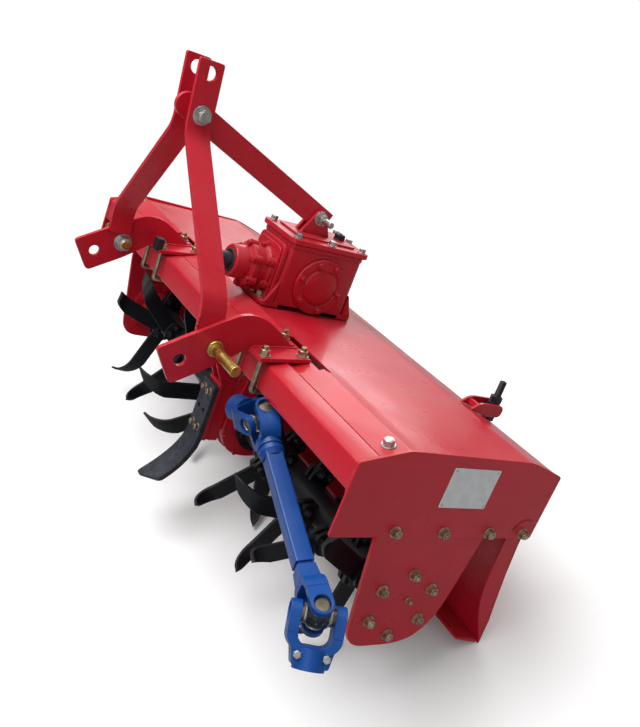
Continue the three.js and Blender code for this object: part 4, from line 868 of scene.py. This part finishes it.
shaft = bmesh.new()
spline = []
for k in range(6):
    for a, r in ((-0.26, 14.4), (-0.235, 17.3), (0.235, 17.3), (0.26, 14.4), (0.5, 14.2)):
        spline.append((r * cos(tau * k / 6 + a), r * sin(tau * k / 6 + a)))
facing = Matrix(((0, 0, 1, 0), (1, 0, 0, 0), (0, 1, 0, INPUT_Z), (0, 0, 0, 1)))
bmesh.ops.transform(shaft, matrix=facing, verts=slab(shaft, spline, -23.5, 12))
rod(shaft, (0, 11, INPUT_Z), (0, 106, INPUT_Z), 17.4, sides=40)
rod(shaft, (0, -24, INPUT_Z), (0, -22, INPUT_Z), 11.5, 13.5, sides=32)
set_down("splined_input_shaft", shaft, rolled_steel, "input_shaft", on="drive_input", easing=0.7)


# ---- lower hitch plates ---------------------------------------------------------------------------
# A 10 mm plate each side, welded on a foot that lies on the beam. Two U-bolts hold the foot down
# and the lower hitch pin is bolted through the plate, with a spare hole ahead of it.
HITCH_FACE = 294
HITCH_PLATE = 10
FOOT_PLATE = 8
PIN_AT = (-94, 0)
FOOT_INNER, FOOT_OUTER, FOOT_FRONT, FOOT_REAR = 232, 346, -22, 88
FOOT_RISE = 0.105       # of the foot for each millimetre rearward
U_BOLT = 5.6


def foot_under(y):
    return 12.15 + (y - LEDGE) * FOOT_RISE


hitch_outline = rounded([(-207, -18, 10), (-161, -86, 12), (-83, -37, 12), (-27, 6, 8), (-14, 8.5, 0),
                         (FOOT_REAR, 19.2, 0), (72, 26, 6), (20, 60, 26), (-14, 76, 22), (-54, 76, 20),
                         (-92, 55, 26)])
for side, name in SIDES:
    hitch = bmesh.new()
    slab(hitch, hitch_outline, side * (HITCH_FACE - HITCH_PLATE), side * HITCH_FACE,
         holes=[(-155, -34, 12.5), (*PIN_AT, 11.4)])
    slab(hitch, [(FOOT_FRONT, foot_under(FOOT_FRONT)), (FOOT_REAR, foot_under(FOOT_REAR)),
                 (FOOT_REAR, foot_under(FOOT_REAR) + FOOT_PLATE),
                 (FOOT_FRONT, foot_under(FOOT_FRONT) + FOOT_PLATE)],
         side * FOOT_INNER, side * FOOT_OUTER)
    for x in (HITCH_FACE + 1, HITCH_FACE - 11):
        weld(hitch, (side * x, -14, foot_under(-14) + 9), (side * x, 80, foot_under(80) + 9), 3)
    set_down(f"hitch_weldment_{name}", hitch, red_enamel, f"hitch_plate_{name}", easing=1.3)

clamps = bmesh.new()
foot_up = Vector((0, -FOOT_RISE, 1)).normalized()
for x in (248, 330):
    for leg_y, head_y in ((-8, -8), (102, 76)):
        head = Vector((x, head_y, foot_under(head_y) + FOOT_PLATE))
        rod(clamps, (x, leg_y, -58), head + foot_up * 19, U_BOLT, sides=20)
        bolt(clamps, head, foot_up, 17, turn=x + leg_y)
    bent = folded_line([(-8, -57), (-8, -62.5), (102, -62.5), (102, -57)], 5, 4)
    for before, after in zip(bent, bent[1:]):
        rod(clamps, (x, *before), (x, *after), U_BOLT, sides=16)
mirror_across(clamps)
set_down("hitch_u_bolts", clamps, dull_zinc, easing=0.5, sharpest=50)

yellow_zinc = metal("yellow_zinc", "yellow_zinc", (0.66, 0.54, 0.16), (0.50, 0.38, 0.10), 0.22, 500, wear=0.3)
for side, name in SIDES:
    pin = bmesh.new()
    turned(pin, (side * 258, *PIN_AT), (side, 0, 0),
           [(0, 0), (10, 0), (11, 1), (11, 36.3), (17, 36.3), (17, 42), (15.5, 44), (11, 44), (11, 135.6),
            (9.8, 137), (0, 137)], sides=40)
    set_down(f"lower_pin_{name}", pin, yellow_zinc, f"hitch_pin_{name}", easing=0.6)

cap = bmesh.new()
block(cap, (-262, -30, foot_under(-30) + 4), (-236, -12, foot_under(-20) + 34))
set_down("foot_end_cap", cap, black_plastic, easing=2.5, segments=3)

pin_nuts = bmesh.new()
bolt(pin_nuts, (283.7, *PIN_AT), (-1, 0, 0), 30, turn=0.4)
mirror_across(pin_nuts)
set_down("lower_pin_nuts", pin_nuts, silver_zinc, easing=0.9)


# ---- mast -----------------------------------------------------------------------------------------
# Two flat bars rise from the hitch plates, are bent in to a clevis and carry the top link's hole.
# A flat brace ties them back to ears on the gearbox lid.
MAST_FOOT, MAST_HEAD = Vector((0, -110, 22)), Vector((0, -154, 476))
CROSS_BOLT_Z = 373
MAST_BAR = 10
BRACE_HALF = 25
mast_line = folded_line([(MAST_FOOT.z, 279), (84, 279), (335, 35), (MAST_HEAD.z, 35)], 26, 7)
reach = [0.0]
for before, after in zip(mast_line, mast_line[1:]):
    reach.append(reach[-1] + (Vector(after) - Vector(before)).length)


def mast_place(side, wide, run, through):
    """Where a point of the flat mast bar goes once it is bent."""
    k = max(i for i in range(len(reach) - 1) if reach[i] <= run + 0.001)
    first, last = Vector(mast_line[k]), Vector(mast_line[k + 1])
    t = (run - reach[k]) / (reach[k + 1] - reach[k])

    def tangent(i):
        low, high = max(i - 1, 0), min(i + 1, len(mast_line) - 1)
        return (Vector(mast_line[high]) - Vector(mast_line[low])).normalized()
    way = tangent(k).lerp(tangent(k + 1), t).normalized()
    spot = first.lerp(last, t) + Vector((way.y, -way.x)) * -through
    lean = MAST_FOOT.y + (MAST_HEAD.y - MAST_FOOT.y) * (spot.x - MAST_FOOT.z) / (MAST_HEAD.z - MAST_FOOT.z)
    return Vector((side * spot.y, lean + wide, spot.x))


for side, name in SIDES:
    mast = bmesh.new()
    length = reach[-1]
    slab(mast, rounded([(-26, 0, 5), (26, 0, 5), (26, length, 5), (-26, length, 5)]),
         -MAST_BAR / 2, MAST_BAR / 2, holes=[(0, length - 24, 14), (0, length - 103, 10.4)])
    cut_across(mast, reach[1:-1], (0, 0, 1))
    for vert in mast.verts:
        vert.co = mast_place(side, vert.co.y, vert.co.z, vert.co.x)
    bmesh.ops.recalc_face_normals(mast, faces=mast.faces[:])
    set_down(f"mast_flat_{name}", mast, red_enamel, f"mast_bar_{name}", easing=1.3, sharpest=40)

mast_welds = bmesh.new()
for y in (-137, -84):
    for z in range(26, 58, 8):
        weld(mast_welds, (282.5, y, z), (282.5, y, z + 8), 3)
mirror_across(mast_welds)
set_down("mast_welds", mast_welds, red_enamel, easing=0, sharpest=80)

cross_at = MAST_FOOT.lerp(MAST_HEAD, (CROSS_BOLT_Z - MAST_FOOT.z) / (MAST_HEAD.z - MAST_FOOT.z))
long_bolt = bmesh.new()
face = 40 + SEAT_GAP
rod(long_bolt, (-face - 14, *cross_at.yz), (face + 1, *cross_at.yz), 10, sides=28)
bolt(long_bolt, (face, *cross_at.yz), (1, 0, 0), 26, turn=0.2)
bolt(long_bolt, (-face, *cross_at.yz), (-1, 0, 0), 26, turn=0.5)
set_down("mast_cross_bolt", long_bolt, silver_zinc, "cross_bolt", easing=0.8)

brace_way = (brace_at - cross_at).normalized()
brace = bmesh.new()
upper, foot = cross_at - brace_way * 20, brace_at + brace_way * 28
tilt = atan2(brace_way.z, brace_way.y)
outline = [(foot.y + side * BRACE_HALF * sin(tilt), foot.z - side * BRACE_HALF * cos(tilt))
           for side in (1, -1)]
outline += on_circle(upper.yz, BRACE_HALF, [tilt + radians(90 + 15 * k) for k in range(13)])
slab(brace, outline, -6, 6)
set_down("top_brace_flat", brace, red_enamel, "top_brace")

brace_bolt = bmesh.new()
bolt(brace_bolt, (-15.5, *brace_at.yz), (-1, 0, 0), 22)
bolt(brace_bolt, (15.5, *brace_at.yz), (1, 0, 0), 22, stud=34, turn=0.1)
set_down("brace_bolt", brace_bolt, silver_zinc, easing=0.7)


# ---- tailboard ------------------------------------------------------------------------------------
# A folded sheet hangs on two pins at the hood's rear corners and levels the soil. Its ends are
# turned forward as flanges and its lower edge is folded to a stiff lip.
LUG_AT = Vector((440, 514, -232))
TAIL_END = frame_end - 5
FLANGE = 4
tail_line = folded_line([(472.3, -112), (475.2, -170), (482.2, -235), (492, -300), (502, -356),
                         (505.2, -413.6)], 14, 3)
tail = bmesh.new()
stations = [-TAIL_END + TAIL_END * 2 * k / 24 for k in range(25)]
folded_sheet(tail, tail_line, stations)
for face in tail.faces:
    face.normal_update()
if list(tail.faces)[0].normal.y < 0:
    bmesh.ops.reverse_faces(tail, faces=tail.faces[:])
bmesh.ops.solidify(tail, geom=tail.faces[:], thickness=-SHEET)
tail_flange = rounded([(476, -112, 0), (479, -170, 0), (486, -235, 0), (496, -300, 0), (506, -356, 0),
                       (508, -412, 3), (462, -332, 20), (446, -285, 20), (440, -230, 20), (435, -160, 12),
                       (437, -112, 8)], 4)
for side in (1, -1):
    slab(tail, tail_flange, side * (TAIL_END - FLANGE), side * TAIL_END)
    slab(tail, [(440, -402), (500, -414), (505, -412), (503, -407), (442, -397)],
         side * 0.01, side * (TAIL_END - FLANGE))
    rod(tail, (side * (TAIL_END - 12), *PIVOT), (side * (HALF_WIDTH - 1), *PIVOT), 6, sides=24)
    slab(tail, rounded([(485, -204, 0), (490, -260, 0), (520, -244, 12), (526, -232, 12),
                        (520, -220, 12)], 4), side * (LUG_AT.x + 16), side * (LUG_AT.x + 22))
    rod(tail, (side * (LUG_AT.x - 12), *LUG_AT.yz), (side * (LUG_AT.x + 17), *LUG_AT.yz), 6, sides=24)
set_down("tailboard_sheet", tail, red_enamel, "tailboard", on="tailboard", easing=1.0)


# ---- tailboard adjusters --------------------------------------------------------------------------
# A threaded rod each side hangs from a swivelling block in a bracket on the hood, and its eye holds
# the tailboard's lug. Turning the nuts sets how far the tailboard may open.
BLOCK_AT = Vector((440, 512, 16))
THREAD_PITCH, THREAD_START, SCREW_PAST = 2.4, 60, 62
THREAD_ROOT, THREAD_CREST = 7.2, 8
bracket_ear = rounded([(434, 14.4, 2), (484, 1.1, 2), (520, 2, 8), (526, 16, 8), (520, 29, 8),
                       (456, 30, 10)], 4)


def ring(bm, start, end, outer, inner, sides=32):
    """A washer or boss with a hole, spun about the line from start to end."""
    start, end = Vector(start), Vector(end)
    turned(bm, start, end - start, [(inner, 0), (outer, 0), (outer, (end - start).length),
                                    (inner, (end - start).length)], sides, closed=True)


for side, name in SIDES:
    bracket = bmesh.new()
    for x0, x1 in ((454.5, 460.5), (419.5, 425.5)):
        slab(bracket, bracket_ear, side * x0, side * x1)
    block(bracket, (side * BLOCK_AT.x - 20, 452, 13), (side * BLOCK_AT.x + 20, 460, 25))
    set_down(f"adjuster_ears_{name}", bracket, red_enamel, f"adjuster_bracket_{name}", easing=1)
    barrel = bmesh.new()
    middle = Vector((side * BLOCK_AT.x, *BLOCK_AT.yz))
    ring(barrel, middle + Vector((0, 0, -12.5)), middle + Vector((0, 0, 12.5)), 13, 8.4, sides=32)
    for way in (1, -1):
        for end, radius, sides in ((20, 5, 24), (14, 10, 28)):
            rod(barrel, middle + Vector((way * 9, 0, 0)), middle + Vector((way * end, 0, 0)), radius,
                sides=sides)
    set_down(f"swivel_block_{name}", barrel, black_enamel, f"adjuster_block_{name}",
             on="adjuster_blocks", easing=0.8)
    screw = bmesh.new()
    eye_at = Vector((side * LUG_AT.x, *LUG_AT.yz))
    way = (middle - eye_at).normalized()
    far = (middle - eye_at).length
    thread = [(0, 8), (THREAD_ROOT, 10)]
    for k in range(int((far + SCREW_PAST - THREAD_START) / THREAD_PITCH)):
        root = THREAD_START + THREAD_PITCH * k
        thread += [(THREAD_ROOT, root), (THREAD_CREST, root + THREAD_PITCH / 2)]
    thread += [(6.6, far + SCREW_PAST), (0, far + SCREW_PAST + 2)]
    turned(screw, eye_at, way, thread, sides=20)
    ring(screw, eye_at + Vector((-10, 0, 0)), eye_at + Vector((10, 0, 0)), 15, 8.6, sides=36)
    for low, high in ((far + 15, far + 27), (far - 28, far - 17)):
        rod(screw, eye_at + way * low, eye_at + way * high, 13.6, sides=6)
    set_down(f"adjuster_screw_{name}", screw, black_enamel, f"adjuster_rod_{name}",
             on="adjuster_rods", easing=0.4, sharpest=50, segments=1)


# ---- drive shaft ----------------------------------------------------------------------------------
# A telescopic shaft with a universal joint at each end, stowed against the beam's underside. Its
# forks are forgings, its crosses run in caps pressed into the forks, and its middle is square tube.
blue_enamel = enamel("blue_enamel", "blue_paint", (0.002, 0.068, 0.31), (0.002, 0.045, 0.22),
                     (0.02, 0.03, 0.05), 0.5, 0.3, coat=0.12, dust=0.04)
cap_steel = metal("cap_steel", "zinc_plate", (0.30, 0.27, 0.20), (0.15, 0.13, 0.09), 0.3, 500)
OUTBOARD, INBOARD = Vector((757, -18, -246)), Vector((375, 8, -97.4))
shaft_way = (OUTBOARD - INBOARD).normalized()
shaft_length = (OUTBOARD - INBOARD).length
fork_pin = Matrix.Rotation(-1.3, 3, shaft_way) @ shaft_way.cross(Vector((0, 0, 1))).normalized()
STOWED, HANGING = Vector((-0.96, -0.12, -0.25)).normalized(), Vector((0.54, -0.18, -0.86)).normalized()
GAP, EAR, OUTER_EAR, REACH, BASE, FORK_HALF = 56, 12, 18, 48, 14, 19
BEND = 16               # radius inside a fork's shoulders
TUBE_WALL, TUBE_OPEN, BAR_REACH, LOBE_HALF = 4, 60, 150, 17
FOUR_WAYS = ((1, 0, 0), (-1, 0, 0), (0, 1, 0), (0, -1, 0))


def stood(pin, way, centre):
    """The matrix that stands a fork drawn with its pin along x and its hub along z."""
    side = way.cross(pin).normalized()
    turn = Matrix((pin, side, way)).transposed().to_4x4()
    return Matrix.Translation(centre) @ turn


def fork(bm, thick=EAR):
    """A forged fork: two ears round the pin, bent in to a base that a hub is added to."""
    half = GAP / 2
    quarter = [radians(90 * k / 8) for k in range(9)]
    ear = on_circle((0, 0), 20, [pi + pi * k / 12 for k in range(13)])
    ear += [(FORK_HALF, REACH - BEND), (-FORK_HALF, REACH - BEND)]
    for side in (1, -1):
        slab(bm, ear, side * half, side * (half + thick), holes=[(0, 0, 14.6)])
        arch = [(side * (half - BEND + BEND * cos(a)), REACH - BEND + BEND * sin(a)) for a in quarter]
        outer_arch = [(side * (half - BEND + (BEND + thick) * cos(a)), REACH - BEND + (BEND + BASE) * sin(a))
                      for a in reversed(quarter)]
        upright_plate(bm, arch + [(0, REACH), (0, REACH + BASE)] + outer_arch, -FORK_HALF, FORK_HALF)
        ring(bm, (side * (half + thick - 1), 0, 0), (side * (half + thick + 0.6), 0, 0), 18.6, 15.4, sides=36)


def cross_caps(bm):
    """The cross between two forks, with a bearing cap on each of its arms."""
    arm = GAP / 2 + EAR - 6
    profile = [(0, 23), (14.3, 23), (14.3, arm), (12.6, arm + 0.8), (11.4, arm - 1), (0, arm - 1)]
    for way in FOUR_WAYS:
        turned(bm, (0, 0, 0), way, profile, sides=36)


def cross_seals(bm):
    """The bright dust seals between the cross and its caps."""
    for way in FOUR_WAYS:
        turned(bm, (0, 0, 0), way, [(0, 18.5), (15, 18.5), (16.2, 20), (16.2, 23), (15, 24), (0, 24)],
               sides=36)


def cross_body(bm):
    """The forged middle of a cross, with its grease nipple."""
    bmesh.ops.create_uvsphere(bm, u_segments=24, v_segments=16, radius=16.4)
    for way in ((1, 0, 0), (0, 1, 0)):
        rod(bm, Vector(way) * -20.5, Vector(way) * 20.5, 12, sides=32)
    rod(bm, (0, 0, 14), (0, 0, 20), 3.6, 3, sides=12)
    rod(bm, (0, 0, 20), (0, 0, 23), 2, 3, sides=12)


hub_start = REACH + BASE
base_end = hub_start + 24
tube = bmesh.new()
fork(tube)
turned(tube, (0, 0, hub_start), (0, 0, 1),
       [(0, -8), (24, -8), (21.5, 2), (21.5, 4), (24.6, 5), (24.6, 10), (22, 11), (22, 15), (25, 16),
        (25, 23), (23, 26), (20, 34), (0, 34)], sides=48)
tube_end = shaft_length - base_end - 6
outline = rounded([(-17, -17, 4), (17, -17, 4), (17, 17, 4), (-17, 17, 4)])
bmesh.ops.transform(tube, matrix=lying, verts=slab(tube, outline, base_end - 10, tube_end))
end_face = min((face for face in tube.faces if len(face.verts) == len(outline)),
               key=lambda face: (face.calc_center_median() - Vector((0, 0, tube_end))).length)
bmesh.ops.inset_region(tube, faces=[end_face], thickness=TUBE_WALL)
pushed = bmesh.ops.extrude_face_region(tube, geom=[end_face])["geom"]
bmesh.ops.delete(tube, geom=[end_face], context="FACES_ONLY")
bmesh.ops.translate(tube, vec=(0, 0, -TUBE_OPEN),
                    verts=verts_in(pushed))
tube.transform(stood(fork_pin, shaft_way, INBOARD))
set_down("shaft_outer_half", tube, blue_enamel, "shaft_tube", easing=1.8, segments=3)

bar = bmesh.new()
fork(bar)
rod(bar, (0, 0, hub_start - 6), (0, 0, base_end), 27.5, 23.4, sides=4, roll=pi / 4)
inner_bar = slab(bar, rounded([(-12.5, -12.5, 2), (12.5, -12.5, 2), (12.5, 12.5, 2), (-12.5, 12.5, 2)]),
                 base_end - 10, base_end + BAR_REACH)
bmesh.ops.transform(bar, matrix=lying, verts=inner_bar)
bar.transform(stood(fork_pin, -shaft_way, OUTBOARD))
set_down("shaft_inner_half", bar, blue_enamel, "shaft_bar", on="shaft_slider", easing=1.8, segments=3)

for name, way, centre, rides_on in (("inboard", STOWED, INBOARD, "machine_frame"),
                                    ("outboard", HANGING, OUTBOARD, "shaft_cross")):
    pin = fork_pin.cross(way).normalized()
    for part, shape, finish, replaced in (("caps", cross_caps, cap_steel, f"shaft_{name}_cross"),
                                          ("seals", cross_seals, silver_zinc, None),
                                          ("body", cross_body, rolled_steel, None)):
        piece = bmesh.new()
        shape(piece)
        piece.transform(stood(pin, pin.cross(fork_pin), centre))
        set_down(f"{name}_cross_{part}", piece, finish, replaced, on=rides_on, easing=0)

for name, way, centre, rides_on in (("inboard", STOWED, INBOARD, "machine_frame"),
                                    ("outboard", HANGING, OUTBOARD, "shaft_end_yoke")):
    pin = fork_pin.cross(way).normalized()
    yoke = bmesh.new()
    fork(yoke, OUTER_EAR if name == "outboard" else EAR)
    ring(yoke, (0, 0, hub_start - 10), (0, 0, base_end), 27, 17.5, sides=40)
    if name == "outboard":
        pinch = bmesh.new()
        for side in (1, -1):
            upright_plate(yoke, rounded([(side * 17.6, hub_start - 16, 0), (side * 37, hub_start - 16, 4),
                                         (side * 30, base_end - 5, 5), (side * 17.6, base_end - 5, 0)]),
                          -LOBE_HALF, LOBE_HALF)
            for out, turn in ((1, side), (-1, 0.3)):
                bolt(pinch, (side * 24, out * LOBE_HALF, base_end - 22), (0, out, 0), 12,
                     washer=False, turn=turn)
        pinch.transform(stood(pin, way, centre))
        set_down("yoke_pinch_bolts", pinch, silver_zinc, on=rides_on, easing=0.5)
    yoke.transform(stood(pin, way, centre))
    set_down(f"{name}_end_yoke", yoke, blue_enamel, f"shaft_{name}_yoke", on=rides_on,
             easing=1.8, segments=3)
